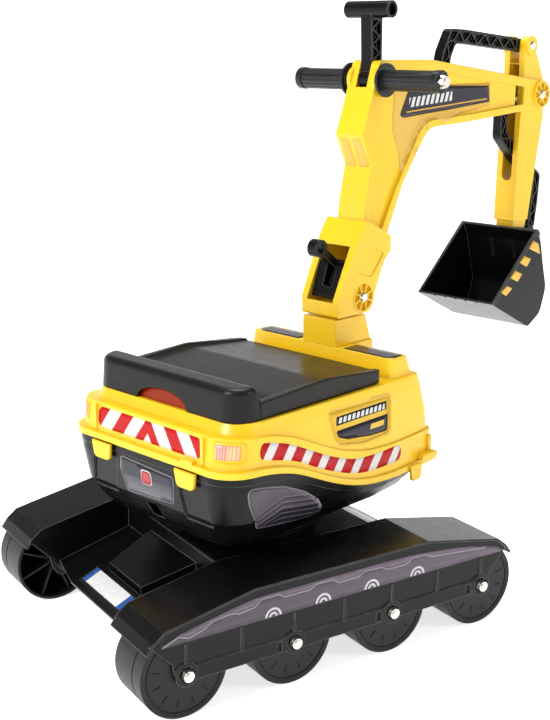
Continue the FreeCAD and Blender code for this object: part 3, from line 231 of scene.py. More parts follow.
NODE_MATERIALS = {
    "yellow": (YELLOW, ["body_shell", "rim_clips", "boom_bracket", "boom_half_right",
                        "boom_half_left", "dipper"]),
    # The storage bin gets the painted-shade orange.
    "bin": (SHADE_ORANGE, ["storage_bin"]),
    "black": (BLACK, ["track_frame", "bowl", "turntable_ring", "top_link", "bucket", "bucket_link",
                      "latch_block", "latch_lever", "t_lever"]),
    "seat": (SEAT_BLACK, ["seat_lid"]),
    "grips": (GRIP_BLACK, ["grip_right", "grip_left"]),
    "plate": (plate_material(), ["licence_plate"]),
    "wheels": (WHEEL_BLACK, [name for name in frame["nodes"] if name.startswith("wheel_")]),
}


def dress(node, material):
    """Gives a CAD node one material."""
    piece = frame["nodes"][node]
    piece.data.materials.clear()
    piece.data.materials.append(material)


painted = set()
for material, names in NODE_MATERIALS.values():
    for name in names:
        dress(name, material)
        painted.add(name)
for name in frame["nodes"]:
    if name not in painted:
        dress(name, STEEL)


# ---------------------------------------------------------------- thin printed sheets

SINK = 0.05       # how far a printed sheet's back lies under the surface, mm


def finder(nodes):
    """A ray-cast tree over CAD nodes, in the row's metres."""
    points = []
    faces = []
    for name in nodes:
        mesh = frame["nodes"][name].data
        start = len(points)
        points.extend(vertex.co.copy() for vertex in mesh.vertices)
        faces.extend([start + i for i in polygon.vertices] for polygon in mesh.polygons)
    return BVHTree.FromPolygons(points, faces)


ARC_STEP = 14.0   # degrees between the points of a rounded corner


def rounded(points):
    """Outline corners (a, b, radius) turned into arcs; one with no radius stays sharp."""
    result = []
    count = len(points)
    for i, corner in enumerate(points):
        here = Vector(corner[:2])
        radius = corner[2] if len(corner) > 2 else 0.0
        if radius <= 0:
            result.append(here)
            continue
        back = (Vector(points[i - 1][:2]) - here).normalized()
        ahead = (Vector(points[(i + 1) % count][:2]) - here).normalized()
        half = 0.5 * back.angle(ahead)
        run = radius / math.tan(half)
        center = here + (back + ahead).normalized() * (radius / math.sin(half))
        start = here + back * run - center
        sweep = start.angle_signed(here + ahead * run - center)
        pieces = max(2, int(math.degrees(abs(sweep)) / ARC_STEP))
        for k in range(pieces + 1):
            turn = Matrix.Rotation(-sweep * k / pieces, 2)
            result.append(center + turn @ start)
    return result


def inside(point, polygon):
    """Whether a flat point lies inside an outline."""
    hit = False
    for i, a in enumerate(polygon):
        b = polygon[i - 1]
        if (a.y > point.y) != (b.y > point.y):
            if point.x < (b.x - a.x) * (point.y - a.y) / (b.y - a.y) + a.x:
                hit = not hit
    return hit


def edge_gap(point, polygon):
    """Distance from a point to the outline."""
    best = 1e9
    for i, a in enumerate(polygon):
        b = polygon[i - 1]
        line = b - a
        t = max(0.0, min(1.0, (point - a).dot(line) / max(line.length_squared, 1e-9)))
        best = min(best, (point - a - line * t).length)
    return best


def flat_mesh(outline, spacing):
    """Triangles that fill an outline, with inner points close enough to follow a curved surface."""
    rim = []
    for i, a in enumerate(outline):
        b = outline[(i + 1) % len(outline)]
        pieces = max(1, int((b - a).length / spacing))
        rim.extend(a.lerp(b, k / pieces) for k in range(pieces))
    low = Vector((min(p.x for p in rim), min(p.y for p in rim)))
    high = Vector((max(p.x for p in rim), max(p.y for p in rim)))
    points = list(rim)
    for i in range(1, int((high.x - low.x) / spacing) + 1):
        for j in range(1, int((high.y - low.y) / spacing) + 1):
            spot = Vector((low.x + i * spacing, low.y + j * spacing))
            if inside(spot, rim) and edge_gap(spot, rim) > spacing * 0.4:
                points.append(spot)
    edges = [(i, (i + 1) % len(rim)) for i in range(len(rim))]
    spots, _, faces, *_ = delaunay_2d_cdt(points, edges, [], 1, 1e-6)
    return spots, faces


def sheet(name, body, tree, to_space, cast, outline, material, lift=0.25, spacing=6.0):
    """A thin closed sheet whose points are dropped along cast onto the CAD surface."""
    spots, faces = flat_mesh(outline, spacing)
    mesh = bmesh.new()
    layer = mesh.loops.layers.uv.new("mm")
    upper = []
    lower = []
    direction = Vector(cast).normalized()
    for spot in spots:
        hit, normal, _, _ = tree.ray_cast(to_space(spot), direction)
        if hit is None:
            upper.append(None)
            lower.append(None)
            continue
        if normal.dot(direction) > 0:
            normal = -normal
        upper.append(mesh.verts.new(hit + normal * lift * 0.001))
        lower.append(mesh.verts.new(hit - normal * SINK * 0.001))
    place = {}
    for spot, high, low in zip(spots, upper, lower):
        place[high] = place[low] = spot
    sides = {}
    for face in faces:
        if any(upper[i] is None for i in face) or len(set(face)) < 3:
            continue
        a, b, c = (upper[i].co for i in face[:3])
        normal = (b - a).cross(c - a)
        order = face if normal.dot(direction) < 0 else face[::-1]
        mesh.faces.new([upper[i] for i in order]).smooth = True
        mesh.faces.new([lower[i] for i in order[::-1]]).smooth = True
        for a, b in zip(order, order[1:] + order[:1]):
            if (b, a) in sides:
                del sides[(b, a)]
            else:
                sides[(a, b)] = True
    for a, b in sides:
        mesh.faces.new([upper[b], upper[a], lower[a], lower[b]])
    for face in mesh.faces:
        for loop in face.loops:
            loop[layer].uv = place[loop.vert]
    loose = [vertex for vertex in mesh.verts if not vertex.link_faces]
    bmesh.ops.delete(mesh, geom=loose, context="VERTS")
    data = bpy.data.meshes.new(name)
    mesh.to_mesh(data)
    mesh.free()
    piece = bpy.data.objects.new(name, data)
    bpy.context.scene.collection.objects.link(piece)
    data.materials.append(material)
    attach(piece, body)


# Where the rays start, outside the object, mm.
CAST_SIDE = 400.0
CAST_BACK = -400.0
CAST_TOP = 600.0


def on_side(side, matrix):
    """Outline (y, z) seen from the right (side 1) or the left (side -1)."""
    cast = matrix.to_3x3() @ Vector((-side, 0, 0))
    return lambda p: matrix @ Vector((side * CAST_SIDE, p.x, p.y)), cast


def on_back(matrix):
    """Outline (x, z) seen from behind."""
    cast = matrix.to_3x3() @ Vector((0, 1, 0))
    return lambda p: matrix @ Vector((p.x, CAST_BACK, p.y)), cast


def on_top(matrix):
    """Outline (x, y) seen from above."""
    cast = matrix.to_3x3() @ Vector((0, 0, -1))
    return lambda p: matrix @ Vector((p.x, p.y, CAST_TOP)), cast


# ---------------------------------------------------------------- inks

RED = (0.44, 0.001, 0.003, 1)
WHITE = (0.68, 0.67, 0.65, 1)
DARK_INK = (0.016, 0.013, 0.024, 1)
GOLD_INK = (0.80, 0.47, 0.05, 1)
BAR_INK = (0.66, 0.66, 0.66, 1)


def chevrons(tree, u, v):
    """Red and white bars that lean in to a peak over the middle of the sheet."""
    lean = 0.7
    pitch = 39.5
    out = calc(tree, "ABSOLUTE", u)
    t = calc(tree, "MULTIPLY_ADD", v, lean, calc(tree, "SUBTRACT", out, lean * 235.0))
    wave = calc(tree, "FRACT", calc(tree, "DIVIDE", calc(tree, "ADD", t, 98.5), pitch))
    bar = calc(tree, "LESS_THAN", wave, 0.5)
    middle = calc(tree, "LESS_THAN", t, 6.3)
    red_bar = calc(tree, "SUBTRACT", 1.0, calc(tree, "MAXIMUM", bar, middle))
    return mix_color(tree, red_bar, WHITE, RED)


def slant_bars(tree, u, v):
    """White bars on red, all leaning forward."""
    pitch = 33.9
    first = -276.8
    t = calc(tree, "SUBTRACT", u, calc(tree, "MULTIPLY", v, 0.75))
    shifted = calc(tree, "ADD", t, 20.5 * pitch - first)
    wave = calc(tree, "FRACT", calc(tree, "DIVIDE", shifted, pitch))
    from_middle = calc(tree, "ABSOLUTE", calc(tree, "SUBTRACT", wave, 0.5))
    return mix_color(tree, calc(tree, "LESS_THAN", from_middle, 0.215), RED, WHITE)


def reflector_ink(tree, u, v):
    """Pleated reflector, pink on its inner half and orange on its outer half."""
    pleat_pitch = 2.6
    out = calc(tree, "ABSOLUTE", u)
    wave = calc(tree, "FRACT", calc(tree, "DIVIDE", u, pleat_pitch))
    pleat = calc(tree, "ABSOLUTE", calc(tree, "SUBTRACT", wave, 0.5))
    half = calc(tree, "GREATER_THAN", out, 114.5)
    tone = mix_color(tree, half, (0.62, 0.10, 0.10, 1), (0.80, 0.30, 0.07, 1))
    return mix_color(tree, calc(tree, "MULTIPLY", pleat, 1.5), tone, (0.95, 0.62, 0.45, 1))


def louvre_ink(tree, u, v):
    """Purple-grey panel with arched louvre lines over a darker lower part."""
    crest = 77.0          # how far behind the slew axis the arches peak
    rear = calc(tree, "MAXIMUM", calc(tree, "SUBTRACT", -crest, u), 0.0)
    front = calc(tree, "MAXIMUM", calc(tree, "ADD", u, crest), 0.0)
    fall = calc(tree, "ADD", calc(tree, "MULTIPLY", rear, 0.30),
                calc(tree, "MULTIPLY", front, 0.19))
    height = calc(tree, "ADD", calc(tree, "SUBTRACT", v, 172.0), fall)
    wave = calc(tree, "FRACT", calc(tree, "DIVIDE", calc(tree, "ADD", height, 60.0), 6.2))
    pale = calc(tree, "LESS_THAN", wave, 0.16)
    dark = calc(tree, "GREATER_THAN", wave, 0.62)
    lower = calc(tree, "LESS_THAN", height, 0.0)
    ruled = calc(tree, "MULTIPLY", calc(tree, "LESS_THAN", height, 17.0),
                 calc(tree, "GREATER_THAN", u, -112.0))
    base = mix_color(tree, lower, (0.075, 0.062, 0.078, 1), (0.016, 0.014, 0.026, 1))
    lined = mix_color(tree, calc(tree, "MULTIPLY", dark, calc(tree, "MULTIPLY", ruled, 0.75)), base,
                      (0.018, 0.015, 0.024, 1))
    return mix_color(tree, calc(tree, "MULTIPLY", pale, calc(tree, "MULTIPLY", ruled, 0.6)), lined,
                     (0.24, 0.21, 0.24, 1))


def tailgate_ink(tree, u, v):
    """Silver-grey panel, darker over a slanting line and lighter towards its foot."""
    edge = calc(tree, "MULTIPLY_ADD", u, 0.06, 192.5)
    upper = calc(tree, "GREATER_THAN", v, edge)
    fade = calc(tree, "DIVIDE", calc(tree, "SUBTRACT", 192.5, v), 24.0)
    foot = mix_color(tree, fade, (0.050, 0.046, 0.058, 1), (0.155, 0.150, 0.165, 1))
    return mix_color(tree, upper, foot, (0.020, 0.018, 0.030, 1))


def track_ink(tree, u, v):
    """Purple film that turns paler towards the front end."""
    fade = calc(tree, "DIVIDE", calc(tree, "ADD", u, 220.0), 440.0)
    return mix_color(tree, fade, (0.060, 0.050, 0.064, 1), (0.105, 0.080, 0.110, 1))


BAR_LEAN = 0.35


def bar_row(tree, u, height, first, last, low, high, pitch):
    """A row of plain slanted white bars between two ends."""
    along = calc(tree, "SUBTRACT", u, calc(tree, "MULTIPLY", height, BAR_LEAN))
    wave = calc(tree, "FRACT", calc(tree, "DIVIDE", along, pitch))
    mask = calc(tree, "LESS_THAN", wave, 0.60)
    for value, limit, test in ((u, first, "GREATER_THAN"), (u, last, "LESS_THAN"),
                               (height, low, "GREATER_THAN"), (height, high, "LESS_THAN")):
        mask = calc(tree, "MULTIPLY", mask, calc(tree, test, value, limit))
    return mask


def boom_name_ink(tree, u, v):
    """Dark panel with a row of plain bars."""
    slope = 0.063
    foot = calc(tree, "MULTIPLY_ADD", u, slope, 561.0 - slope * 253.0)
    mask = bar_row(tree, u, calc(tree, "SUBTRACT", v, foot), 258.0, 344.0, 5.0, 16.5, 9.6)
    return mix_color(tree, mask, DARK_INK, BAR_INK)


def upper_plate_ink(tree, u, v):
    """Dark strip with a row of plain bars."""
    mask = bar_row(tree, u, calc(tree, "SUBTRACT", v, 247.9), 14.0, 92.0, -3.1, 3.1, 7.4)
    return mix_color(tree, mask, DARK_INK, BAR_INK)


def lower_plate_ink(tree, u, v):
    """Dark panel with a short gold bar near its front end."""
    height = calc(tree, "SUBTRACT", v, 230.0)
    end = calc(tree, "SUBTRACT", u, calc(tree, "MULTIPLY", height, BAR_LEAN))
    mask = calc(tree, "MULTIPLY", calc(tree, "GREATER_THAN", end, 66.0),
                calc(tree, "LESS_THAN", end, 89.0))
    off_line = calc(tree, "ABSOLUTE", height)
    mask = calc(tree, "MULTIPLY", mask, calc(tree, "LESS_THAN", off_line, 2.9))
    return mix_color(tree, mask, DARK_INK, GOLD_INK)


stripe_film = printed("stripe_film", chevrons, 0.4, 0.2)
side_stripe_film = printed("side_stripe_film", slant_bars, 0.4, 0.2)
reflector_film = printed("reflector_film", reflector_ink, 0.15, 0.5)
red_film = printed("red_film", plain_ink((0.45, 0.012, 0.012, 1)), 0.2, 0.5)
dark_film = printed("dark_film", plain_ink(DARK_INK, (0.028, 0.024, 0.038, 1)), 0.22)
louvre_film = printed("louvre_film", louvre_ink, 0.3)
tailgate_film = printed("tailgate_film", tailgate_ink, 0.25)
track_film = printed("track_film", track_ink, 0.4)
mauve_film = printed("mauve_film",
                     plain_ink((0.150, 0.115, 0.150, 1), (0.115, 0.088, 0.118, 1), 30.0), 0.4)
pale_film = printed("pale_film", plain_ink((0.27, 0.24, 0.27, 1)), 0.4)
white_film = printed("white_film", plain_ink((0.62, 0.60, 0.62, 1)), 0.35)
gold_film = printed("gold_film", plain_ink(GOLD_INK, (0.72, 0.40, 0.03, 1)), 0.3)
boom_name_film = printed("boom_name_film", boom_name_ink, 0.22)
upper_plate_film = printed("upper_plate_film", upper_plate_ink, 0.22)
lower_plate_film = printed("lower_plate_film", lower_plate_ink, 0.22)
tan_film = printed("tan_film",
                   plain_ink((0.72, 0.46, 0.085, 1), (0.66, 0.41, 0.065, 1), 30.0), 0.45)
# Painted shade: a darker golden-brown ring on the name recess's sloping rim.
bevel_shade_film = printed("bevel_shade_film",
                     plain_ink((0.55, 0.29, 0.035, 1), (0.80, 0.47, 0.10, 1), 25.0))
# Painted shade: the name recess's floor is the shell's own yellow, darkened here.
recess_floor_shade_film = printed("recess_floor_shade_film",
                            plain_ink((0.76, 0.48, 0.030, 1), (0.70, 0.43, 0.022, 1)), 0.35)

shell_tree = finder(["body_shell"])
bowl_tree = finder(["bowl"])
track_tree = finder(["track_frame"])
boom_tree = finder(["boom_half_right", "boom_half_left"])
bucket_tree = finder(["bucket"])


def smooth_line(points, pieces=5):
    """Catmull-Rom line through flat points."""
    line = [Vector(p) for p in points]
    line = [line[0] * 2 - line[1]] + line + [line[-1] * 2 - line[-2]]
    result = []
    for i in range(1, len(line) - 2):
        a, b, c, d = line[i - 1:i + 3]
        for k in range(pieces):
            t = k / pieces
            result.append(0.5 * ((2 * b) + (c - a) * t + (2 * a - 5 * b + 4 * c - d) * t * t
                                 + (3 * b - a - 3 * c + d) * t ** 3))
    result.append(line[-2].copy())
    return result


def grown(outline, distance):
    """The same closed outline moved outwards by a distance (inwards when it is negative)."""
    area = sum(outline[i - 1].cross(p) for i, p in enumerate(outline))
    sign = 1.0 if area > 0 else -1.0
    result = []
    for i, point in enumerate(outline):
        back = point - outline[i - 1]
        ahead = outline[(i + 1) % len(outline)] - point
        if back.length < 1e-6 or ahead.length < 1e-6:
            continue
        back.normalize()
        ahead.normalize()
        normal = Vector((back.y + ahead.y, -back.x - ahead.x)).normalized()
        stretch = max(0.5, normal.dot(Vector((back.y, -back.x))))
        result.append(point + normal * sign * distance / stretch)
    return result


def band(line, width):
    """A narrow outline that follows an open line."""
    left = []
    right = []
    for i, point in enumerate(line):
        back = line[max(0, i - 1)]
        ahead = line[min(len(line) - 1, i + 1)]
        along = (ahead - back).normalized()
        out = Vector((-along.y, along.x)) * width / 2
        left.append(point + out)
        right.append(point - out)
    return left + right[::-1]


def ring_line(outline):
    """A closed outline as an open line that stops just short of its own start."""
    return outline + [outline[-1].lerp(outline[0], 0.97)]


# ---------------------------------------------------------------- decals of the slewing body

REAR_STRIPES = rounded([(-83.5, 234.5, 8), (83.5, 234.5, 8), (83.5, 257.0, 8),
                        (-83.5, 257.0, 8)])
REFLECTOR = [(102.5, 255.8, 1), (123.4, 255.2, 1), (124.0, 239.6, 1), (103.7, 240.5, 1)]
TAILGATE = [(-40.5, 210.0, 3), (43.5, 206.0, 3), (39.7, 176.0, 3), (-35.6, 171.6, 3),
            (-42.7, 196.3, 6)]
TAIL_MARK = [(-7.0, 188.5, 3), (7.0, 188.5, 3), (7.0, 202.5, 3), (-7.0, 202.5, 3)]

to_back, back_cast = on_back(UPPER)


def tub_sheet(name, outline, film, lift, spacing):
    """A sheet on the back of the tub."""
    sheet(name, "upper_body", bowl_tree, to_back, back_cast, outline, film, lift,
          spacing)


sheet("rear_stripes", "upper_body", shell_tree, to_back, back_cast, REAR_STRIPES, stripe_film)
tub_sheet("tailgate_edge", grown(rounded(TAILGATE), 1.3), pale_film, 0.15, 5)
tub_sheet("tailgate_panel", rounded(TAILGATE), tailgate_film, 0.35, 5)
tub_sheet("tail_mark_edge", grown(rounded(TAIL_MARK), 1.6), white_film, 0.55, 3)
tub_sheet("tail_mark", rounded(TAIL_MARK), red_film, 1.1, 3)

SIDE_TOP = [(-105.3, 252.4), (-90.7, 249.5), (-68.5, 242.8), (-45.7, 232.7), (-14.2, 218.0),
            (10.3, 208.5), (35.6, 201.3), (70.5, 198.6), (107.0, 199.5)]
SIDE_FRONT = [(112.5, 197.5), (115.2, 193.0), (115.0, 187.0), (112.0, 182.5)]
SIDE_BOTTOM = [(-102.5, 233.7), (-76.7, 227.3), (-53.9, 219.9), (-26.5, 206.8), (1.8, 195.3),
               (35.4, 184.6), (70.4, 180.7), (107.0, 181.0)]
SIDE_REAR = [(-108.5, 235.6), (-111.2, 239.5), (-111.0, 246.0), (-108.8, 250.8)]
SIDE_STRIPES = (smooth_line(SIDE_TOP) + [Vector(p) for p in SIDE_FRONT]
                + smooth_line(SIDE_BOTTOM)[::-1] + [Vector(p) for p in SIDE_REAR])
NAME_RECESS = rounded([(-3.0, 262.0, 3), (101.5, 260.5, 3), (98.5, 216.5, 8), (52.5, 214.5, 40),
                       (14.5, 221.5, 16), (4.5, 230.0, 8)])
UPPER_PLATE = rounded([(11.2, 252.6, 1.2), (95.4, 253.4, 1.2), (95.0, 243.9, 1.2),
                       (9.8, 243.0, 1.2)])
LOWER_PLATE = rounded([(9.0, 237.4, 2), (97.0, 238.2, 2), (94.6, 219.2, 4), (64.5, 220.0, 30),
                       (27.4, 224.5, 20), (12.0, 230.0, 5)])
LOUVRE_PANEL = rounded([(-130.0, 209.0, 5), (-109.0, 205.5, 9), (-77.5, 198.5, 30),
                        (-44.0, 183.5, 30), (-20.0, 167.0, 22), (-6.5, 152.0, 7),
                        (-13.5, 146.5, 9), (-58.0, 152.0, 30), (-110.0, 160.5, 6),
                        (-125.5, 190.5, 20)])
CONSOLE_STICKER = [(36.0, 145.5, 2), (106.0, 145.5, 3), (107.5, 128.0, 4), (100.0, 120.5, 4),
                   (36.0, 120.5, 2)]

for side, tag in ((1, "right"), (-1, "left")):
    to_side, side_cast = on_side(side, UPPER)
    to_top, top_cast = on_top(UPPER)

    def mirrored(points):
        """Corners of the right-hand side, rounded, on this side."""
        return rounded([(side * p[0],) + tuple(p[1:]) for p in points][::side])

    def shell_sheet(name, outline, film, lift=0.25, spacing=6.0):
        """A sheet on this side of the shell."""
        sheet(name + "_" + tag, "upper_body", shell_tree, to_side, side_cast, outline, film,
              lift, spacing)

    def louvre_sheet(name, outline, film, lift):
        """A sheet on this side of the tub."""
        sheet(name + "_" + tag, "upper_body", bowl_tree, to_side, side_cast, outline, film,
              lift, 5)

    def lamp_sheet(name, outline, film, lift):
        """A sheet on the back of the shell, at this side's corner."""
        sheet(name + "_" + tag, "upper_body", shell_tree, to_back, back_cast, outline, film,
              lift, 3)

    shell_sheet("side_stripes", SIDE_STRIPES, side_stripe_film, spacing=7)
    # Painted shade: a darker ring along the recess's sloping rim.
    shell_sheet("name_recess_shade_rim", band(ring_line(NAME_RECESS), 3.4), bevel_shade_film, 0.15, 3)
    # Painted shade: the recess floor in darker yellow.
    shell_sheet("name_recess_floor", grown(NAME_RECESS, -2.6), recess_floor_shade_film, 0.15)
    shell_sheet("name_plate_upper", UPPER_PLATE, upper_plate_film, 0.35)
    shell_sheet("name_plate_lower", LOWER_PLATE, lower_plate_film, 0.35)
    louvre_sheet("louvre_edge", grown(LOUVRE_PANEL, 1.2), pale_film, 0.15)
    louvre_sheet("louvre_panel", LOUVRE_PANEL, louvre_film, 0.35)
    lamp_sheet("reflector_rim", grown(mirrored(REFLECTOR), 2.6), YELLOW, 1.1)
    lamp_sheet("reflector", mirrored(REFLECTOR), reflector_film, 1.6)
    sheet("console_sticker_" + tag, "upper_body", shell_tree, to_top, top_cast,
          mirrored(CONSOLE_STICKER), dark_film, 0.3, 5)

TONGUE_HALF_WIDTH = 45.0
TONGUE_FOOT = 271.2
TONGUE_HEIGHT = 15.8
TONGUE_COLUMNS = 24
TONGUE_ROWS = 8
TONGUE_THICKNESS = 1.4
TONGUE_BACK = -124.6


def bin_shade_tongue():
    """Curved deep orange tongue that stands on the rim behind the seat's finger notch: painted
    shade, in place of the shell's yellow in deep shadow there.
    """
    mesh = bmesh.new()
    skins = []
    for depth in (0.0, TONGUE_THICKNESS):
        rows = []
        for j in range(TONGUE_ROWS + 1):
            rise = j / TONGUE_ROWS
            row = []
            for i in range(TONGUE_COLUMNS + 1):
                turn = math.pi * i / TONGUE_COLUMNS
                x = TONGUE_HALF_WIDTH * math.cos(turn)
                z = TONGUE_FOOT + TONGUE_HEIGHT * math.sin(turn) * rise + 0.2 * rise
                y = TONGUE_BACK - 1.2 * math.sin(turn) + 1.6 * rise * rise + depth
                row.append(mesh.verts.new(UPPER @ Vector((x, y, z))))
            rows.append(row)
        skins.append(rows)
    for rows, flip in zip(skins, (False, True)):
        for low, high in zip(rows[:-1], rows[1:]):
            for i in range(TONGUE_COLUMNS):
                corners = [low[i + 1], low[i], high[i], high[i + 1]]
                mesh.faces.new(corners[::-1] if flip else corners).smooth = True
    outer, inner = skins
    loops = []
    for rows in (outer, inner):
        loops.append([row[0] for row in rows] + rows[-1][1:-1]
                     + [row[-1] for row in rows[::-1]]
                     + rows[0][-2:0:-1])
    count = len(loops[0])
    for i in range(count):
        k = (i + 1) % count
        mesh.faces.new([loops[0][i], loops[0][k], loops[1][k], loops[1][i]])
    bmesh.ops.recalc_face_normals(mesh, faces=mesh.faces)
    data = bpy.data.meshes.new("bin_shade_tongue")
    mesh.to_mesh(data)
    mesh.free()
    piece = bpy.data.objects.new("bin_shade_tongue", data)
    bpy.context.scene.collection.objects.link(piece)
    data.materials.append(SHADE_ORANGE)
    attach(piece, "upper_body")


bin_shade_tongue()

# ---------------------------------------------------------------- decals of the boom and the bucket

BOOM_NAME = rounded([(240.3, 557.0, 3), (259.0, 592.5, 12), (423.0, 588.0, 1),
                     (426.0, 567.5, 1), (330.0, 560.0), (303.6, 558.5), (247.7, 554.4, 5)])
BOOM_LINE = [Vector(p) for p in ((253.0, 561.0), (303.6, 564.2), (360.0, 567.8), (419.0, 571.5))]
BOOM_TAN = rounded([(229.5, 592.0, 2), (226.4, 560.0, 20), (226.8, 539.2, 20),
                    (239.1, 513.0, 20), (243.3, 489.5, 1), (257.7, 502.5, 10),
                    (285.0, 528.0, 30), (320.0, 544.0, 60), (357.0, 553.0, 60),
                    (428.0, 563.0, 1), (427.0, 592.0, 1)])
BULGE_PANEL = [(3.3, 533.5, 1), (15.3, 534.2, 1), (17.1, 500.4, 1), (3.0, 499.4, 1)]
BUCKET_MARKS = [[(477.0, 383.9), (490.7, 378.1), (495.4, 363.4), (468.2, 374.0)],
                [(457.1, 365.7), (473.9, 359.4), (463.9, 349.9), (446.1, 357.9)],
                [(436.3, 348.6), (454.4, 341.2), (443.7, 332.4), (425.5, 339.8)],
                [(419.0, 330.4), (432.0, 324.9), (418.0, 316.7), (404.4, 323.6)]]

for side, tag in ((1, "right"), (-1, "left")):
    to_side, side_cast = on_side(side, UPPER)

    def boom_sheet(name, outline, film, lift, spacing=6.0):
        """A sheet on this side of the boom."""
        sheet(name + "_" + tag, "boom", boom_tree, to_side, side_cast, outline, film,
              lift, spacing)

    boom_sheet("boom_web_panel", BOOM_TAN, tan_film, 0.15)
    boom_sheet("boom_name_edge", grown(BOOM_NAME, 1.5), tan_film, 0.30)
    boom_sheet("boom_name_panel", BOOM_NAME, boom_name_film, 0.45)
    boom_sheet("boom_name_line", band(BOOM_LINE, 1.5), gold_film, 0.6, 4)
    bulge = rounded([(side * p[0],) + p[1:] for p in BULGE_PANEL][::side])
    sheet("bulge_panel_" + tag, "boom", boom_tree, to_back, back_cast, bulge, tan_film,
          0.2, 5)
    for number, mark in enumerate(BUCKET_MARKS, 1):
        sheet("bucket_mark_%d_%s" % (number, tag), "digger", bucket_tree, to_side, side_cast,
              rounded(mark), gold_film, 0.25, 5)

# ---------------------------------------------------------------- decals of the undercarriage

TRACK_TOP = [(-215.0, 83.8), (-196.5, 91.8), (-156.8, 99.9), (-112.0, 107.6), (-53.6, 108.0),
             (13.2, 108.3), (78.4, 107.8), (150.2, 102.0), (208.1, 91.0), (220.5, 84.0)]
TRACK_FOOT = 82.0
ZIGZAG = [(-214.0, 83.2), (-196.5, 89.9), (-184.9, 85.7), (-166.9, 91.2), (-158.8, 96.2),
          (-142.9, 98.5), (-132.4, 98.3), (-128.9, 96.3), (-109.9, 99.0), (-102.7, 105.2),
          (-82.1, 105.2), (-74.7, 101.0), (-43.5, 100.9), (-36.0, 105.2), (-15.4, 104.8),
          (-7.6, 99.9), (18.7, 100.3), (25.3, 104.5), (48.2, 103.5), (56.5, 99.2), (81.4, 99.0),
          (89.7, 104.2), (106.7, 103.8), (118.3, 99.8), (144.6, 97.2), (195.7, 92.0)]
RING_CENTERS = [(-88.2, 83.0), (-26.8, 83.0), (35.7, 83.0), (97.4, 83.0)]


RING_STEPS = 16


def half_ring(center, inner, outer):
    """The outline of the upper half of a flat ring."""
    spots = []
    for radius, steps in ((outer, range(RING_STEPS + 1)), (inner, range(RING_STEPS, -1, -1))):
        for k in steps:
            turn = math.pi * k / RING_STEPS
            spots.append(Vector((center[0] + radius * math.cos(turn),
                                 center[1] + radius * math.sin(turn))))
    return spots


zigzag_line = [Vector(p) for p in ZIGZAG]
track_outline = smooth_line(TRACK_TOP) + [Vector((221.0, TRACK_FOOT)),
                                          Vector((-215.5, TRACK_FOOT))]
upper_outline = smooth_line(TRACK_TOP[1:-1])[:-3] + zigzag_line[:0:-1]
for side, tag in ((1, "right"), (-1, "left")):
    to_side, side_cast = on_side(side, BASE)

    def track_sheet(name, outline, film, lift, spacing=8.0):
        """A sheet on this side of the undercarriage."""
        sheet(name + "_" + tag, "undercarriage", track_tree, to_side, side_cast, outline, film,
              lift, spacing)

    track_sheet("track_film", track_outline, track_film, 0.2)
    track_sheet("track_film_upper", upper_outline, mauve_film, 0.35)
    track_sheet("track_zigzag", band(zigzag_line, 1.7), pale_film, 0.6, 6)
    for number, center in enumerate(RING_CENTERS, 1):
        for which, inner, outer in (("outer", 7.3, 9.8), ("inner", 2.6, 5.0)):
            track_sheet("track_ring_%s_%d" % (which, number), half_ring(center, inner, outer),
                        white_film, 0.5, 3)

# ---------------------------------------------------------------- stage, light and camera

FLOOR_RADIUS = 60.0                        # m
FLOOR_SIDES = 96
WALL_HEIGHT = 14.0
FLOOR_GLOW = 0.71
SKY_STRENGTH = 0.32
CAMERA_PLACE = (1148.6, -699.0, 647.7)     # mm, in the base frame
CAMERA_PITCH = 14.66                       # degrees down
CAMERA_HEADING = 57.42                     # degrees


def look_at(position, target):
    """The rotation that points a lamp's axis at a target."""
    return (Vector(target) - Vector(position)).to_track_quat("-Z", "Y").to_euler()


def area_light(name, position, target, size, power):
    """A rectangular white lamp; metres and watts."""
    data = bpy.data.lights.new(name, "AREA")
    data.shape = "RECTANGLE"
    data.size = size[0]
    data.size_y = size[1]
    data.energy = power
    light = bpy.data.objects.new(name, data)
    light.location = position
    light.rotation_euler = look_at(position, target)
    bpy.context.scene.collection.objects.link(light)


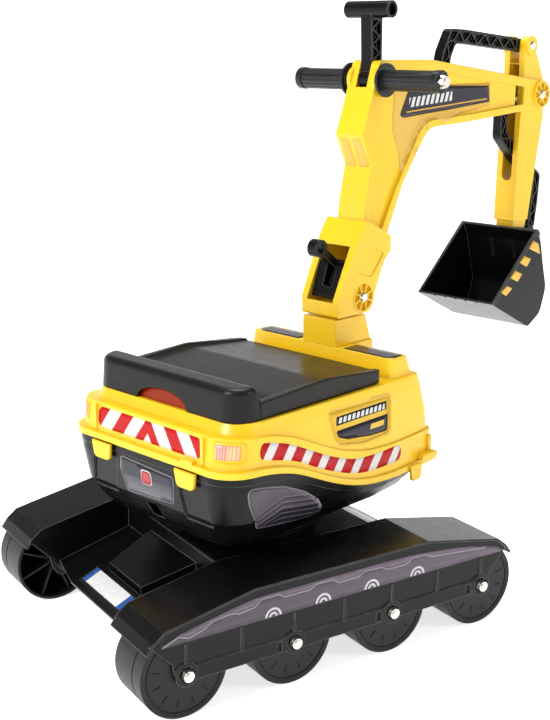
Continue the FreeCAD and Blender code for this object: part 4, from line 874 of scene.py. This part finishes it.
def floor():
    """A wide pale floor with a far wall; both glow a little, as paper lit from behind does."""
    material, tree, shader = new_material("studio_paper")
    drift = noise(tree, object_place(tree), 3.0)
    tree.links.new(mix_color(tree, drift, (0.93, 0.93, 0.93, 1), (0.91, 0.91, 0.91, 1)),
                   shader.inputs["Base Color"])
    shader.inputs["Roughness"].default_value = 0.9
    shader.inputs["Specular IOR Level"].default_value = 0.1
    shader.inputs["Emission Color"].default_value = (1, 1, 1, 1)
    shader.inputs["Emission Strength"].default_value = FLOOR_GLOW
    mesh = bmesh.new()
    rows = []
    turns = [2 * math.pi * i / FLOOR_SIDES for i in range(FLOOR_SIDES)]
    for height in (0.0, WALL_HEIGHT):
        rows.append([mesh.verts.new((FLOOR_RADIUS * math.cos(turn), FLOOR_RADIUS * math.sin(turn),
                                     height)) for turn in turns])
    mesh.faces.new(rows[0])
    for i in range(FLOOR_SIDES):
        k = (i + 1) % FLOOR_SIDES
        mesh.faces.new([rows[0][k], rows[0][i], rows[1][i], rows[1][k]])
    data = bpy.data.meshes.new("studio_floor")
    mesh.to_mesh(data)
    mesh.free()
    piece = bpy.data.objects.new("studio_floor", data)
    data.materials.append(material)
    bpy.context.scene.collection.objects.link(piece)


floor()
world = bpy.data.worlds.new("studio")
world.use_nodes = True
sky = world.node_tree.nodes["Background"]
sky.inputs["Color"].default_value = (1, 1, 1, 1)
sky.inputs["Strength"].default_value = SKY_STRENGTH
bpy.context.scene.world = world
area_light("key", (0.2, -2.3, 1.8), (0, 0, 0.3), (0.8, 1.3), 48)
area_light("fill", (2.4, 1.2, 1.9), (0, 0.1, 0.4), (0.5, 1.6), 20)
area_light("top", (-0.6, 0.2, 2.6), (0, 0, 0.3), (1.2, 1.2), 46)

camera_data = bpy.data.cameras.new("camera")
camera_data.lens = 61.55
camera_data.sensor_width = 36.0
camera = bpy.data.objects.new("camera", camera_data)
camera.location = BASE @ Vector(CAMERA_PLACE)
camera.rotation_euler = (math.radians(90 - CAMERA_PITCH), 0, math.radians(CAMERA_HEADING))
bpy.context.scene.collection.objects.link(camera)
bpy.context.scene.camera = camera
bpy.context.scene.view_settings.view_transform = "Standard"
